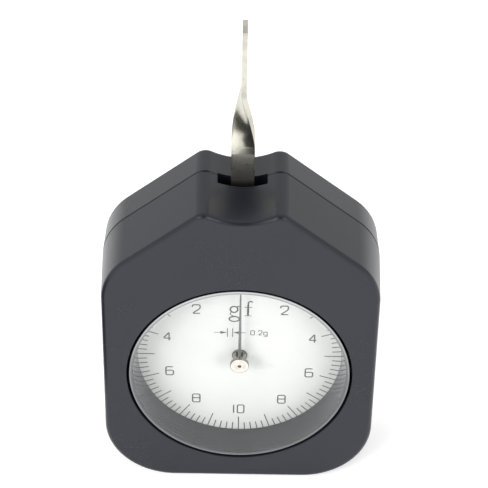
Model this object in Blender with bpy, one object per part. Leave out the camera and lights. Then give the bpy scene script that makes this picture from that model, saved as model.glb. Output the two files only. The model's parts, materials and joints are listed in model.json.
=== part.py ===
"""Pocket dial tension gauge.

A twisted steel lever turns on an arbor inside a two-piece case. Its toothed sector drives a
pinion, which turns a pointer over a round dial. A flat spiral spring brings the lever back.

+Z is up, +X is to the right and the dial faces -Y. The origin is the middle of the flat
bottom. Lengths are in metres and angles in degrees. A depth is a distance behind the front
face of the case, so a piece with a front and a back depth runs between them along Y.
"""

import math

import bmesh
import bpy
from mathutils import Matrix

# Case outline, seen from the front
SIDE_MARGIN = 0.0050
BOTTOM_MARGIN = 0.0060
BOTTOM_CORNER_RADIUS = 0.0155
SHOULDER_ANGLE = 39.0
SHOULDER_APEX_ABOVE_PIVOT = 0.0198
SHOULDER_CORNER_RADIUS = 0.0135
NOTCH_HALF_WIDTH = 0.0083
NOTCH_SAG = 0.00245
NOTCH_PEAK_RADIUS = 0.0028

# Case walls and edges
PARTING_BEHIND_LEVER = 0.0012
PARTING_GAP = 0.00015
CASE_WALL = 0.0020
FRONT_SPREAD = 0.0005
REAR_DRAW = 0.0003
FRONT_EDGE_RADIUS = 0.0011
REAR_EDGE_RADIUS = 0.0015

# Clearances shared by all pieces
SEAT_GAP = 0.0001
PIN_GAP = 0.00005
OVERRUN = 0.0010
MERGE_DISTANCE = 0.000001

# Dial well in the front case
OPENING_RADIUS = 0.0250
OPENING_CHAMFER = 0.00035
WELL_WALL = 0.0020
LEDGE_WIDTH = 0.0022
LEDGE_THICKNESS = 0.0020

# Crystal and dial
CRYSTAL_RECESS = 0.0005
CRYSTAL_SIDE_GAP = 0.00025
CRYSTAL_THICKNESS = 0.0015
CRYSTAL_SKIRT = 0.0012
CRYSTAL_CHAMFER = 0.0004
DIAL_THICKNESS = 0.0006
DIAL_SIDE_GAP = 0.0003

# Pointer, its hub and its arbor
HUB_BEHIND_CRYSTAL = 0.0020
HUB_RADIUS = 0.00205
HUB_THICKNESS = 0.0009
HUB_CHAMFER = 0.0003
HUB_NECK_RADIUS = 0.00075
HUB_NECK_GAP = 0.0004
HUB_DIMPLE_RADIUS = 0.00046
HUB_DIMPLE_DEPTH = 0.00025
POINTER_TIP_MARGIN = 0.0035
POINTER_ROOT_WIDTH = 0.0006
POINTER_TIP_WIDTH = 0.00025
POINTER_THICKNESS = 0.00025
POINTER_BEHIND_HUB = 0.0002
POINTER_ABOVE_DIAL = 0.00185
POINTER_EYE_WALL = 0.0003
ARBOR_TIP_RADIUS = 0.00040
ARBOR_RADIUS = 0.00060
ARBOR_PIVOT_RADIUS = 0.00035

# Front bush of the pointer arbor, which shows as a collar on the dial
BUSH_FLANGE_RADIUS = 0.00173
BUSH_FLANGE_HEIGHT = 0.0003
BUSH_RADIUS = 0.00130
BUSH_OVERHANG = 0.0004
BUSH_FLANGE_STEP = 0.0004

# Movement plates, pillars and their screws
PLATE_THICKNESS = 0.0010
CHASSIS_SIDE_GAP = 0.0004
BRIDGE_SIDE_MARGIN = 0.0020
BRIDGE_END_MARGIN = 0.0025
BRIDGE_WAIST_BELOW_PIVOT = 0.0054
BRIDGE_CORNER_RADIUS = 0.0016
PILLAR_RADIUS = 0.0016
PILLAR_SPIGOT_RADIUS = 0.0008
PILLAR_THREAD_RADIUS = 0.00065
LOWER_PILLAR_X = 0.0135
LOWER_PILLAR_BELOW_DIAL = 0.0040
UPPER_PILLAR_X = 0.0095
UPPER_PILLAR_ABOVE_PIVOT = 0.0036
PILLAR_SCREW_HEAD_RADIUS = 0.0015
PILLAR_SCREW_HEAD = 0.0008
PILLAR_SCREW_RADIUS = 0.0006
PILLAR_SCREW_BITE = 0.0024
PILLAR_SCREW_HEAD_ROOM = 0.00075

# Screws that hold the chassis plate to the front case
CHASSIS_BOSS_RADIUS = 0.0022
CHASSIS_SCREW_RADIUS = 0.0008
CHASSIS_SCREW_HEAD_RADIUS = 0.0016
CHASSIS_SCREW_HEAD = 0.0010
CHASSIS_SCREW_BITE = 0.0035
UPPER_CHASSIS_INSET = 0.0170
UPPER_CHASSIS_BELOW_PIVOT = 0.0014
LOWER_CHASSIS_ANGLE = -64.0
LOWER_CHASSIS_BITE = 0.0003

# Screws that hold the rear cover to the front case
COVER_BOSS_RADIUS = 0.0026
COVER_BOSS_WALL_GAP = 0.0004
COVER_SCREW_RADIUS = 0.0010
COVER_SCREW_HEAD_RADIUS = 0.0019
COVER_SCREW_HEAD = 0.0011
COVER_SCREW_BITE = 0.0053
COUNTERBORE_RADIUS = 0.0022
COUNTERBORE_DEPTH = 0.0013
UPPER_COVER_ANGLE = 62.0
LOWER_COVER_ANGLE = -49.0
BLIND_HOLE_SPARE = 0.0008

# Shape of every screw head
HEAD_SIDE_SHARE = 0.7
HEAD_CROWN_SHARE = 0.8
DRIVE_WIDTH_SHARE = 0.28
DRIVE_DEPTH_SHARE = 0.45
CROSS_REACH_SHARE = 0.55

# Gears: a sector on the lever drives a pinion on the pointer arbor
GEAR_MODULE = 0.0003
PRESSURE_ANGLE = 20.0
PINION_TEETH = 12
SECTOR_FULL_TEETH = 204
SECTOR_TEETH_EACH_SIDE = 8
SECTOR_ADDENDUM_SHARE = 0.7
PINION_ADDENDUM_SHARE = 1.0
DEDENDUM_SHARE = 1.25
BACKLASH = 0.00006
SECTOR_THICKNESS = 0.0010
SECTOR_HUB_RADIUS = 0.0034
PINION_OVERHANG = 0.0003

# Lever: a strip with a quarter twist, its arm and its arbor
LEVER_WIDTH = 0.0050
LEVER_THICKNESS = 0.0009
LEVER_ROOM = 0.00235
LEVER_TOP_ABOVE_PIVOT = 0.0503
LEVER_FOOT_ABOVE_PIVOT = 0.0015
TWIST_ABOVE_APEX = 0.0013
TWIST_LENGTH = 0.0135
TWIST_ANGLE = 90.0
TWIST_STEPS = 18
LEVER_TIP_RADIUS = 0.0007
LEVER_SWING = 10.8
ARM_HALF_WIDTH = 0.0035
ARM_THICKNESS = 0.0020
ARM_ABOVE_PIVOT = 0.0076
ARM_TAIL_HALF_WIDTH = 0.0020
ARM_BELOW_PIVOT = 0.0074
ARM_TAPER = 0.0020
LEVER_ARBOR_RADIUS = 0.0008
LEVER_PIVOT_RADIUS = 0.0005
LEVER_BUSH_RADIUS = 0.0015
LEVER_BUSH_FLANGE_RADIUS = 0.0021
LEVER_BUSH_FLANGE = 0.00045
PIVOT_REACH = 0.0009
CLAMP_SCREW_RADIUS = 0.00075
CLAMP_SCREW_HEAD_RADIUS = 0.0014
CLAMP_SCREW_HEAD = 0.0008
CLAMP_SCREW_ABOVE_PIVOT = 0.0033
CLAMP_SCREW_PITCH = 0.0030
DRIVE_PIN_RADIUS = 0.0006
DRIVE_PIN_BELOW_PIVOT = 0.0040
STOP_PIN_RADIUS = 0.0006
STOP_PIN_BELOW_PIVOT = 0.0060

# Slot in the notch that the lever passes through
SLOT_SIDE_GAP = 0.00045
SLOT_FRONT_GAP = 0.00115
SLOT_BACK_GAP = 0.00135

# Spiral springs, wound from flat strip
SPRING_TURNS = 4.0
SPRING_INNER_RADIUS = 0.0024
SPRING_PITCH = 0.0010
SPRING_STRIP = 0.00025
SPRING_WIDTH = 0.0009
SPRING_STUD_RADIUS = 0.0008
SPRING_STUD_ANGLE = -40.0
HAIRSPRING_TURNS = 5.0
HAIRSPRING_INNER_RADIUS = 0.0013
HAIRSPRING_PITCH = 0.0006
HAIRSPRING_STRIP = 0.00012
HAIRSPRING_WIDTH = 0.0005
HAIRSPRING_STUD_RADIUS = 0.0006
HAIRSPRING_STUD_ANGLE = 200.0
HAIRSPRING_BEHIND_CHASSIS = 0.0015
COLLET_OVERHANG = 0.00015

# Resolution of the round shapes
BORE_SEGMENTS = 72
ROUND_SEGMENTS = 24
PIN_SEGMENTS = 16
CORNER_STEPS = 10
PEAK_STEPS = 5
NOTCH_STEPS = 5
EDGE_STEPS = 4
SPIRAL_STEPS_PER_TURN = 20
SMOOTH_ANGLE = 35.0

# Heights and half widths worked out from the sizes above
CASE_HALF_WIDTH = OPENING_RADIUS + SIDE_MARGIN
WELL_RADIUS = OPENING_RADIUS + WELL_WALL
DIAL_HEIGHT = OPENING_RADIUS + BOTTOM_MARGIN
POINTER_LENGTH = OPENING_RADIUS - POINTER_TIP_MARGIN
PINION_PITCH_RADIUS = PINION_TEETH * GEAR_MODULE / 2
SECTOR_PITCH_RADIUS = SECTOR_FULL_TEETH * GEAR_MODULE / 2
PIVOT_HEIGHT = DIAL_HEIGHT + PINION_PITCH_RADIUS + SECTOR_PITCH_RADIUS
SHOULDER_APEX = PIVOT_HEIGHT + SHOULDER_APEX_ABOVE_PIVOT
LEVER_TOP = PIVOT_HEIGHT + LEVER_TOP_ABOVE_PIVOT
TWIST_BOTTOM = SHOULDER_APEX + TWIST_ABOVE_APEX
TWIST_TOP = TWIST_BOTTOM + TWIST_LENGTH
LOWER_PILLAR_Z = DIAL_HEIGHT - LOWER_PILLAR_BELOW_DIAL
UPPER_PILLAR_Z = PIVOT_HEIGHT + UPPER_PILLAR_ABOVE_PIVOT
BRIDGE_HALF_WIDTH = LOWER_PILLAR_X + BRIDGE_SIDE_MARGIN
BRIDGE_TOP_HALF_WIDTH = UPPER_PILLAR_X + BRIDGE_SIDE_MARGIN
BRIDGE_BOTTOM = LOWER_PILLAR_Z - BRIDGE_END_MARGIN
BRIDGE_WAIST = PIVOT_HEIGHT - BRIDGE_WAIST_BELOW_PIVOT
BRIDGE_TOP = UPPER_PILLAR_Z + BRIDGE_END_MARGIN

# Depths worked out from the sizes above, each layer behind the one before it
HUB_FRONT = CRYSTAL_RECESS + CRYSTAL_THICKNESS + HUB_BEHIND_CRYSTAL
POINTER_DEPTH = HUB_FRONT + HUB_THICKNESS + POINTER_BEHIND_HUB
DIAL_DEPTH = POINTER_DEPTH + POINTER_THICKNESS + POINTER_ABOVE_DIAL
BUSH_FLANGE_FRONT = DIAL_DEPTH - SEAT_GAP - BUSH_FLANGE_HEIGHT
HUB_BACK = BUSH_FLANGE_FRONT - HUB_NECK_GAP
LEDGE_FRONT = DIAL_DEPTH + DIAL_THICKNESS + SEAT_GAP
LEDGE_BACK = LEDGE_FRONT + LEDGE_THICKNESS
CHASSIS_FRONT = LEDGE_BACK + SEAT_GAP
CHASSIS_BACK = CHASSIS_FRONT + PLATE_THICKNESS
HAIRSPRING_DEPTH = CHASSIS_BACK + HAIRSPRING_BEHIND_CHASSIS
LEVER_FRONT = CHASSIS_BACK + LEVER_ROOM
LEVER_BACK = LEVER_FRONT + LEVER_THICKNESS
LEVER_DEPTH = LEVER_FRONT + LEVER_THICKNESS / 2
PARTING_DEPTH = LEVER_DEPTH + PARTING_BEHIND_LEVER
ARM_FRONT = LEVER_BACK + PIN_GAP
ARM_BACK = ARM_FRONT + ARM_THICKNESS
SECTOR_DEPTH = ARM_BACK + SEAT_GAP
SECTOR_BACK = SECTOR_DEPTH + SECTOR_THICKNESS
SPRING_DEPTH = SECTOR_BACK + SEAT_GAP + COLLET_OVERHANG
ARBOR_SHOULDER_FRONT = CHASSIS_BACK + PIN_GAP + LEVER_BUSH_FLANGE + SEAT_GAP
ARBOR_SHOULDER_BACK = SPRING_DEPTH + SPRING_WIDTH + COLLET_OVERHANG + SEAT_GAP
BRIDGE_DEPTH = ARBOR_SHOULDER_BACK + SEAT_GAP + LEVER_BUSH_FLANGE + PIN_GAP
BRIDGE_BACK = BRIDGE_DEPTH + PLATE_THICKNESS
COVER_FLOOR = BRIDGE_BACK + PIN_GAP + PILLAR_SCREW_HEAD + PILLAR_SCREW_HEAD_ROOM
CASE_DEPTH = COVER_FLOOR + CASE_WALL
SLOT_FRONT = LEVER_FRONT - SLOT_FRONT_GAP
SLOT_BACK = LEVER_BACK + SLOT_BACK_GAP


def y_at(depth):
    """World Y of a depth behind the front face."""
    return depth - CASE_DEPTH / 2


# Making pieces


def make_material(name, colour, roughness, metallic=0.0, alpha=1.0):
    """A plain finish for one kind of piece."""
    material = bpy.data.materials.new(name)
    material.use_nodes = True
    shader = material.node_tree.nodes["Principled BSDF"]
    shader.inputs["Base Color"].default_value = (*colour, 1.0)
    shader.inputs["Roughness"].default_value = roughness
    shader.inputs["Metallic"].default_value = metallic
    shader.inputs["Alpha"].default_value = alpha
    return material


def make_piece(name, shape, material, x=0.0, z=0.0, pivot=None):
    """An object from a bmesh whose depths are already along Y, placed at x and z."""
    bmesh.ops.recalc_face_normals(shape, faces=shape.faces)
    mesh = bpy.data.meshes.new(name)
    shape.to_mesh(mesh)
    shape.free()
    mesh.shade_smooth()
    mesh.set_sharp_from_angle(angle=math.radians(SMOOTH_ANGLE))
    return place_mesh(name, mesh, material, x, 0.0, z, pivot)


def place_mesh(name, mesh, material, x, y, z, pivot=None):
    """An object that shows a mesh, under a pivot's empty if it moves."""
    if material and not mesh.materials:
        mesh.materials.append(material)
    piece = bpy.data.objects.new(name, mesh)
    bpy.context.scene.collection.objects.link(piece)
    piece.location = (x, y, z)
    if pivot:
        piece.parent = pivot
        piece.location -= pivot.location
    return piece


def make_pivot(name, z):
    """An empty on a joint's axis, which runs along Y."""
    pivot = bpy.data.objects.new(name, None)
    pivot.empty_display_size = LEVER_WIDTH
    bpy.context.scene.collection.objects.link(pivot)
    pivot.location = (0.0, 0.0, z)
    return pivot


def combine(piece, helper, operation="DIFFERENCE"):
    """A Boolean on a piece with a helper that doesn't show."""
    modifier = piece.modifiers.new(helper.name, "BOOLEAN")
    modifier.operation = operation
    modifier.solver = "EXACT"
    modifier.object = helper
    helper.hide_render = True
    helper.display_type = "WIRE"


def prism(outline, front, back):
    """A bmesh of an outline of (x, z) points, extruded from one depth to another."""
    shape = bmesh.new()
    corners = [shape.verts.new((x, y_at(front), z)) for x, z in outline]
    face = shape.faces.new(corners)
    grown = bmesh.ops.extrude_face_region(shape, geom=[face])
    moved = [item for item in grown["geom"] if isinstance(item, bmesh.types.BMVert)]
    bmesh.ops.translate(shape, verts=moved, vec=(0.0, back - front, 0.0))
    return shape


def turned(profile, segments):
    """A bmesh turned about Y from (depth, radius) points.

    A profile that touches the axis starts and ends on it, and any other is closed.
    """
    shape = bmesh.new()
    points = [shape.verts.new((radius, y_at(depth), 0.0)) for depth, radius in profile]
    pairs = list(zip(points, points[1:]))
    if all(radius > 0.0 for _, radius in profile):
        pairs.append((points[-1], points[0]))
    edges = [shape.edges.new(pair) for pair in pairs]
    bmesh.ops.spin(
        shape, geom=points + edges, cent=(0.0, 0.0, 0.0), axis=(0.0, 1.0, 0.0),
        angle=math.tau, steps=segments, use_merge=True,
    )
    bmesh.ops.remove_doubles(shape, verts=shape.verts, dist=MERGE_DISTANCE)
    return shape


def pin(radius, front, back, segments=PIN_SEGMENTS):
    """A bmesh of a plain round pin between two depths."""
    return turned([(front, 0.0), (front, radius), (back, radius), (back, 0.0)], segments)


def drill(piece, holes, front, back, segments=PIN_SEGMENTS):
    """Cuts round holes, each (x, z, radius), through a piece between two depths."""
    shape = bmesh.new()
    length = back - front + 2 * OVERRUN
    middle = y_at((front + back) / 2)
    for x, z, radius in holes:
        turn = Matrix.Translation((x, middle, z)) @ Matrix.Rotation(math.pi / 2, 4, "X")
        bmesh.ops.create_cone(
            shape, cap_ends=True, segments=segments, radius1=radius, radius2=radius,
            depth=length, matrix=turn,
        )
    combine(piece, make_piece(piece.name + "_holes", shape, None))


def arc(centre_x, centre_z, radius_x, radius_z, start, end, steps):
    """Points along an arc, angles in degrees from +X towards +Z."""
    turn = math.radians(end - start) / steps
    angles = [math.radians(start) + turn * step for step in range(steps + 1)]
    return [
        (centre_x + radius_x * math.cos(a), centre_z + radius_z * math.sin(a)) for a in angles
    ]


# Case


def shoulder_corner():
    """The centre (x, z) of the arc at the case's right shoulder."""
    slope = math.radians(SHOULDER_ANGLE)
    x = CASE_HALF_WIDTH - SHOULDER_CORNER_RADIUS
    reach = SHOULDER_APEX * math.cos(slope) - SHOULDER_CORNER_RADIUS
    return x, (reach - x * math.sin(slope)) / math.cos(slope)


def notch_peak():
    """The height at which a shoulder line would meet the notch."""
    return SHOULDER_APEX - NOTCH_HALF_WIDTH * math.tan(math.radians(SHOULDER_ANGLE))


def polar(x, z, distance, angle):
    """A point at a distance from (x, z), at an angle in degrees from +X towards +Z."""
    turn = math.radians(angle)
    return x + distance * math.cos(turn), z + distance * math.sin(turn)


def mirrored(upper, lower):
    """Four named places from one upper and one lower (x, z) place on the right."""
    return [
        ("upper_left", -upper[0], upper[1]), ("upper_right", *upper),
        ("lower_left", -lower[0], lower[1]), ("lower_right", *lower),
    ]


def cover_places():
    """Where the cover's screws stand, in the case's four round corners."""
    inset = CASE_WALL + COVER_BOSS_RADIUS + COVER_BOSS_WALL_GAP
    upper = polar(*shoulder_corner(), SHOULDER_CORNER_RADIUS - inset, UPPER_COVER_ANGLE)
    bottom_x = CASE_HALF_WIDTH - BOTTOM_CORNER_RADIUS
    lower = polar(
        bottom_x, BOTTOM_CORNER_RADIUS, BOTTOM_CORNER_RADIUS - inset, LOWER_COVER_ANGLE
    )
    return mirrored(upper, lower)


def chassis_places():
    """Where the chassis plate's screws stand: beside the pivot, and against the dial well."""
    upper = (CASE_HALF_WIDTH - UPPER_CHASSIS_INSET, PIVOT_HEIGHT - UPPER_CHASSIS_BELOW_PIVOT)
    reach = WELL_RADIUS + CHASSIS_BOSS_RADIUS - LOWER_CHASSIS_BITE
    return mirrored(upper, polar(0.0, DIAL_HEIGHT, reach, LOWER_CHASSIS_ANGLE))


def pillar_places():
    """Where the movement's pillars stand."""
    return mirrored((UPPER_PILLAR_X, UPPER_PILLAR_Z), (LOWER_PILLAR_X, LOWER_PILLAR_Z))


def case_outline(spread, floor=0.0):
    """The case's outline as (x, z) points, its sides, shoulders and notch moved out by spread.

    The floor is the height of its flat bottom. Arcs keep their centres and their number of
    points, so outlines of unlike spread can be joined point by point.
    """
    slope = math.radians(SHOULDER_ANGLE)
    reach = SHOULDER_APEX * math.cos(slope)
    across = (-math.cos(slope), math.sin(slope))
    outward = (math.sin(slope), math.cos(slope))
    corner_x, corner_z = shoulder_corner()
    bottom_x = CASE_HALF_WIDTH - BOTTOM_CORNER_RADIUS
    notch_radius = (NOTCH_HALF_WIDTH**2 + NOTCH_SAG**2) / (2 * NOTCH_SAG)
    notch_z = notch_peak() - NOTCH_SAG + notch_radius

    # The peak's arc touches the shoulder line inside and the notch's circle outside.
    inner = reach - NOTCH_PEAK_RADIUS
    from_notch = (inner * outward[0], inner * outward[1] - notch_z)
    along = from_notch[0] * across[0] + from_notch[1] * across[1]
    apart = from_notch[0] ** 2 + from_notch[1] ** 2 - (notch_radius + NOTCH_PEAK_RADIUS) ** 2
    shift = -along - math.sqrt(along**2 - apart)
    peak_x = inner * outward[0] + shift * across[0]
    peak_z = inner * outward[1] + shift * across[1]
    towards_notch = math.degrees(math.atan2(notch_z - peak_z, -peak_x))

    bottom = BOTTOM_CORNER_RADIUS + spread
    half = arc(
        bottom_x, BOTTOM_CORNER_RADIUS, bottom, BOTTOM_CORNER_RADIUS - floor,
        -90.0, 0.0, CORNER_STEPS,
    )
    corner = SHOULDER_CORNER_RADIUS + spread
    half += arc(corner_x, corner_z, corner, corner, 0.0, 90.0 - SHOULDER_ANGLE, CORNER_STEPS)
    peak = NOTCH_PEAK_RADIUS + spread
    half += arc(
        peak_x, peak_z, peak, peak, 90.0 - SHOULDER_ANGLE, towards_notch, PEAK_STEPS
    )
    notch = notch_radius - spread
    notch_start = towards_notch - 180.0
    half += arc(0.0, notch_z, notch, notch, notch_start, -90.0, NOTCH_STEPS)[1:]
    return half + [(-x, z) for x, z in reversed(half[:-1])]


def lofted_case(front, back, front_spread, back_spread, edge_depth, edge_radius):
    """A bmesh between two case outlines, rounded along the edge that lies at edge_depth."""
    shape = bmesh.new()
    rims = []
    for depth, spread in ((front, front_spread), (back, back_spread)):
        corners = [shape.verts.new((x, y_at(depth), z)) for x, z in case_outline(spread)]
        rims.append(shape.faces.new(corners))
    sides = [edge for rim in rims for edge in rim.edges]
    bmesh.ops.bridge_loops(shape, edges=sides)
    bmesh.ops.recalc_face_normals(shape, faces=shape.faces)
    rim = rims[0] if edge_depth == front else rims[1]
    bmesh.ops.bevel(
        shape, geom=list(rim.edges), offset=edge_radius, segments=EDGE_STEPS,
        profile=0.5, affect="EDGES", clamp_overlap=True, material=-1,
    )
    return shape


def make_lever_slot():
    """The shape that opens the notch for the lever."""
    bottom = PIVOT_HEIGHT + ARM_ABOVE_PIVOT
    swing = math.radians(LEVER_SWING)
    reach = (notch_peak() - PIVOT_HEIGHT) * math.sin(swing) + LEVER_WIDTH / 2 * math.cos(swing)
    side = reach + SLOT_SIDE_GAP
    outline = [(-side, bottom), (side, bottom), (side, SHOULDER_APEX), (-side, SHOULDER_APEX)]
    return make_piece("lever_slot_cutter", prism(outline, SLOT_FRONT, SLOT_BACK), None)


def make_front_case(material, slot):
    """The deep front shell: dial well, screw bosses and its half of the lever slot."""
    back = PARTING_DEPTH - PARTING_GAP / 2
    case = make_piece(
        "front_case",
        lofted_case(0.0, back, 0.0, FRONT_SPREAD, 0.0, FRONT_EDGE_RADIUS),
        material,
    )
    inside = prism(case_outline(-CASE_WALL, CASE_WALL), CASE_WALL, PARTING_DEPTH + OVERRUN)
    cavity = make_piece("front_case_cavity", inside, None)
    well = pin(WELL_RADIUS, 0.0, LEDGE_BACK, BORE_SEGMENTS)
    combine(cavity, make_piece("dial_well_core", well, None, z=DIAL_HEIGHT))
    for place, x, z in cover_places():
        boss = pin(COVER_BOSS_RADIUS, 0.0, PARTING_DEPTH + 2 * OVERRUN, ROUND_SEGMENTS)
        combine(cavity, make_piece("cover_boss_core_" + place, boss, None, x, z))
    for place, x, z in chassis_places():
        boss = pin(CHASSIS_BOSS_RADIUS, 0.0, LEDGE_BACK, ROUND_SEGMENTS)
        combine(cavity, make_piece("chassis_boss_core_" + place, boss, None, x, z))

    ledge_radius = OPENING_RADIUS - LEDGE_WIDTH
    bore = turned(
        [
            (-OVERRUN, 0.0),
            (-OVERRUN, OPENING_RADIUS + OPENING_CHAMFER + OVERRUN),
            (OPENING_CHAMFER, OPENING_RADIUS),
            (LEDGE_FRONT, OPENING_RADIUS),
            (LEDGE_FRONT, ledge_radius),
            (LEDGE_BACK + OVERRUN, ledge_radius),
            (LEDGE_BACK + OVERRUN, 0.0),
        ],
        BORE_SEGMENTS,
    )
    combine(case, make_piece("dial_opening_cutter", bore, None, z=DIAL_HEIGHT))

    cover_screw_end = PARTING_DEPTH - COVER_SCREW_BITE - BLIND_HOLE_SPARE
    holes = [(x, z, COVER_SCREW_RADIUS + PIN_GAP) for _, x, z in cover_places()]
    drill(case, holes, cover_screw_end + OVERRUN, back)
    chassis_screw_end = CHASSIS_FRONT - CHASSIS_SCREW_BITE - BLIND_HOLE_SPARE
    holes = [(x, z, CHASSIS_SCREW_RADIUS + PIN_GAP) for _, x, z in chassis_places()]
    drill(case, holes, chassis_screw_end + OVERRUN, LEDGE_BACK)
    combine(case, slot)
    combine(case, cavity)
    return case


def make_rear_cover(material, slot):
    """The shallow rear shell, with a tube and a counterbore for each cover screw."""
    front = PARTING_DEPTH + PARTING_GAP / 2
    cover = make_piece(
        "rear_cover",
        lofted_case(
            front, CASE_DEPTH, FRONT_SPREAD, FRONT_SPREAD - REAR_DRAW,
            CASE_DEPTH, REAR_EDGE_RADIUS,
        ),
        material,
    )
    inside = prism(case_outline(-CASE_WALL, CASE_WALL), PARTING_DEPTH - OVERRUN, COVER_FLOOR)
    cavity = make_piece("rear_cover_cavity", inside, None)
    for place, x, z in cover_places():
        boss = pin(
            COVER_BOSS_RADIUS, PARTING_DEPTH - 2 * OVERRUN, CASE_DEPTH, ROUND_SEGMENTS
        )
        combine(cavity, make_piece("cover_tube_core_" + place, boss, None, x, z))
    combine(cover, cavity)
    holes = [(x, z, COVER_SCREW_RADIUS + SEAT_GAP) for _, x, z in cover_places()]
    drill(cover, holes, front, CASE_DEPTH)
    for place, x, z in cover_places():
        seat = pin(
            COUNTERBORE_RADIUS, CASE_DEPTH - COUNTERBORE_DEPTH, CASE_DEPTH + OVERRUN,
            ROUND_SEGMENTS,
        )
        combine(cover, make_piece("counterbore_cutter_" + place, seat, None, x, z))
    combine(cover, slot)
    return cover


# Screws


def screw_mesh(name, material, head_radius, head, radius, length, crossed):
    """A screw along Y: its head's underside at 0, its head towards +Y, with a driver slot."""
    front = CASE_DEPTH / 2 - length
    seat = CASE_DEPTH / 2
    chamfer = radius / 2
    body = turned(
        [
            (front, 0.0), (front, radius - chamfer), (front + chamfer, radius),
            (seat, radius), (seat, head_radius), (seat + head * HEAD_SIDE_SHARE, head_radius),
            (seat + head, head_radius * HEAD_CROWN_SHARE), (seat + head, 0.0),
        ],
        PIN_SEGMENTS,
    )
    screw = make_piece(name + "_pattern", body, material)
    side = head_radius * DRIVE_WIDTH_SHARE / 2
    reach = head_radius * CROSS_REACH_SHARE if crossed else head_radius + OVERRUN
    bottom = seat + head * (1 - DRIVE_DEPTH_SHARE)
    slots = [[(-reach, -side), (reach, -side), (reach, side), (-reach, side)]]
    if crossed:
        slots.append([(z, x) for x, z in reversed(slots[0])])
    cutters = []
    for index, outline in enumerate(slots):
        shape = prism(outline, bottom, seat + head + OVERRUN)
        cutters.append(make_piece(f"{name}_slot_{index}", shape, None))
        combine(screw, cutters[-1])
    graph = bpy.context.evaluated_depsgraph_get()
    mesh = bpy.data.meshes.new_from_object(screw.evaluated_get(graph))
    mesh.name = name
    for helper in (screw, *cutters):
        bpy.data.objects.remove(helper)
    return mesh


def place_screws(prefix, mesh, material, places, seat):
    """One screw at each place, its head on the far side of its seat."""
    for place, x, z in places:
        place_mesh(f"{prefix}_{place}", mesh, material, x, y_at(seat), z)


# Dial side


def make_crystal(material):
    """The clear cup that closes the dial opening and holds the dial down with its skirt."""
    outer = OPENING_RADIUS - CRYSTAL_SIDE_GAP
    inner = outer - CRYSTAL_SKIRT
    front = CRYSTAL_RECESS
    back = DIAL_DEPTH - SEAT_GAP
    profile = [
        (front, 0.0),
        (front, outer - CRYSTAL_CHAMFER),
        (front + CRYSTAL_CHAMFER, outer),
        (back, outer),
        (back, inner),
        (front + CRYSTAL_THICKNESS, inner),
        (front + CRYSTAL_THICKNESS, 0.0),
    ]
    make_piece("crystal", turned(profile, BORE_SEGMENTS), material, z=DIAL_HEIGHT)


def make_dial(material):
    """The printed dial plate, bored for the front bush."""
    radius = OPENING_RADIUS - DIAL_SIDE_GAP
    hole = BUSH_RADIUS + SEAT_GAP
    back = DIAL_DEPTH + DIAL_THICKNESS
    profile = [(DIAL_DEPTH, hole), (DIAL_DEPTH, radius), (back, radius), (back, hole)]
    make_piece("dial_plate", turned(profile, BORE_SEGMENTS), material, z=DIAL_HEIGHT)


def make_pointer(material, pivot):
    """The tapered needle, with an eye that fits the hub's neck."""
    eye_inner = HUB_NECK_RADIUS + PIN_GAP
    eye_outer = eye_inner + POINTER_EYE_WALL
    back = POINTER_DEPTH + POINTER_THICKNESS
    root, tip = POINTER_ROOT_WIDTH / 2, POINTER_TIP_WIDTH / 2
    outline = [(-root, 0.0), (root, 0.0), (tip, POINTER_LENGTH - tip), (-tip, POINTER_LENGTH - tip)]
    outline[3:3] = [(0.0, POINTER_LENGTH)]
    pointer = make_piece(
        "pointer", prism(outline, POINTER_DEPTH, back), material, z=DIAL_HEIGHT, pivot=pivot
    )
    eye = make_piece("pointer_eye_cutter", pin(eye_outer, POINTER_DEPTH, back), None, z=DIAL_HEIGHT)
    combine(pointer, eye, "UNION")
    drill(pointer, [(0.0, DIAL_HEIGHT, eye_inner)], POINTER_DEPTH, back)


def make_pointer_hub(material, pivot):
    """The bright disc and neck that carry the needle on the arbor."""
    bore = ARBOR_TIP_RADIUS + PIN_GAP / 2
    face = HUB_FRONT + HUB_THICKNESS
    profile = [
        (HUB_FRONT, HUB_DIMPLE_RADIUS),
        (HUB_FRONT, HUB_RADIUS - HUB_CHAMFER),
        (HUB_FRONT + HUB_CHAMFER, HUB_RADIUS),
        (face, HUB_RADIUS),
        (face, HUB_NECK_RADIUS),
        (HUB_BACK, HUB_NECK_RADIUS),
        (HUB_BACK, bore),
        (HUB_FRONT + HUB_DIMPLE_DEPTH, bore),
        (HUB_FRONT + HUB_DIMPLE_DEPTH, HUB_DIMPLE_RADIUS),
    ]
    hub = turned(profile, ROUND_SEGMENTS)
    make_piece("pointer_hub", hub, material, z=DIAL_HEIGHT, pivot=pivot)


def make_dial_collar(material):
    """The front bush: a collar on the dial, and a tube through dial and chassis plate."""
    bore = ARBOR_TIP_RADIUS + PIN_GAP
    flange_back = DIAL_DEPTH - SEAT_GAP
    back = CHASSIS_BACK + BUSH_OVERHANG
    profile = [
        (BUSH_FLANGE_FRONT, bore),
        (BUSH_FLANGE_FRONT, BUSH_FLANGE_RADIUS - BUSH_FLANGE_STEP),
        (BUSH_FLANGE_FRONT + BUSH_FLANGE_STEP / 2, BUSH_FLANGE_RADIUS),
        (flange_back, BUSH_FLANGE_RADIUS),
        (flange_back, BUSH_RADIUS),
        (back, BUSH_RADIUS),
        (back, bore),
    ]
    collar = turned(profile, ROUND_SEGMENTS)
    make_piece("dial_collar", collar, material, z=DIAL_HEIGHT)


# Movement


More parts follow.
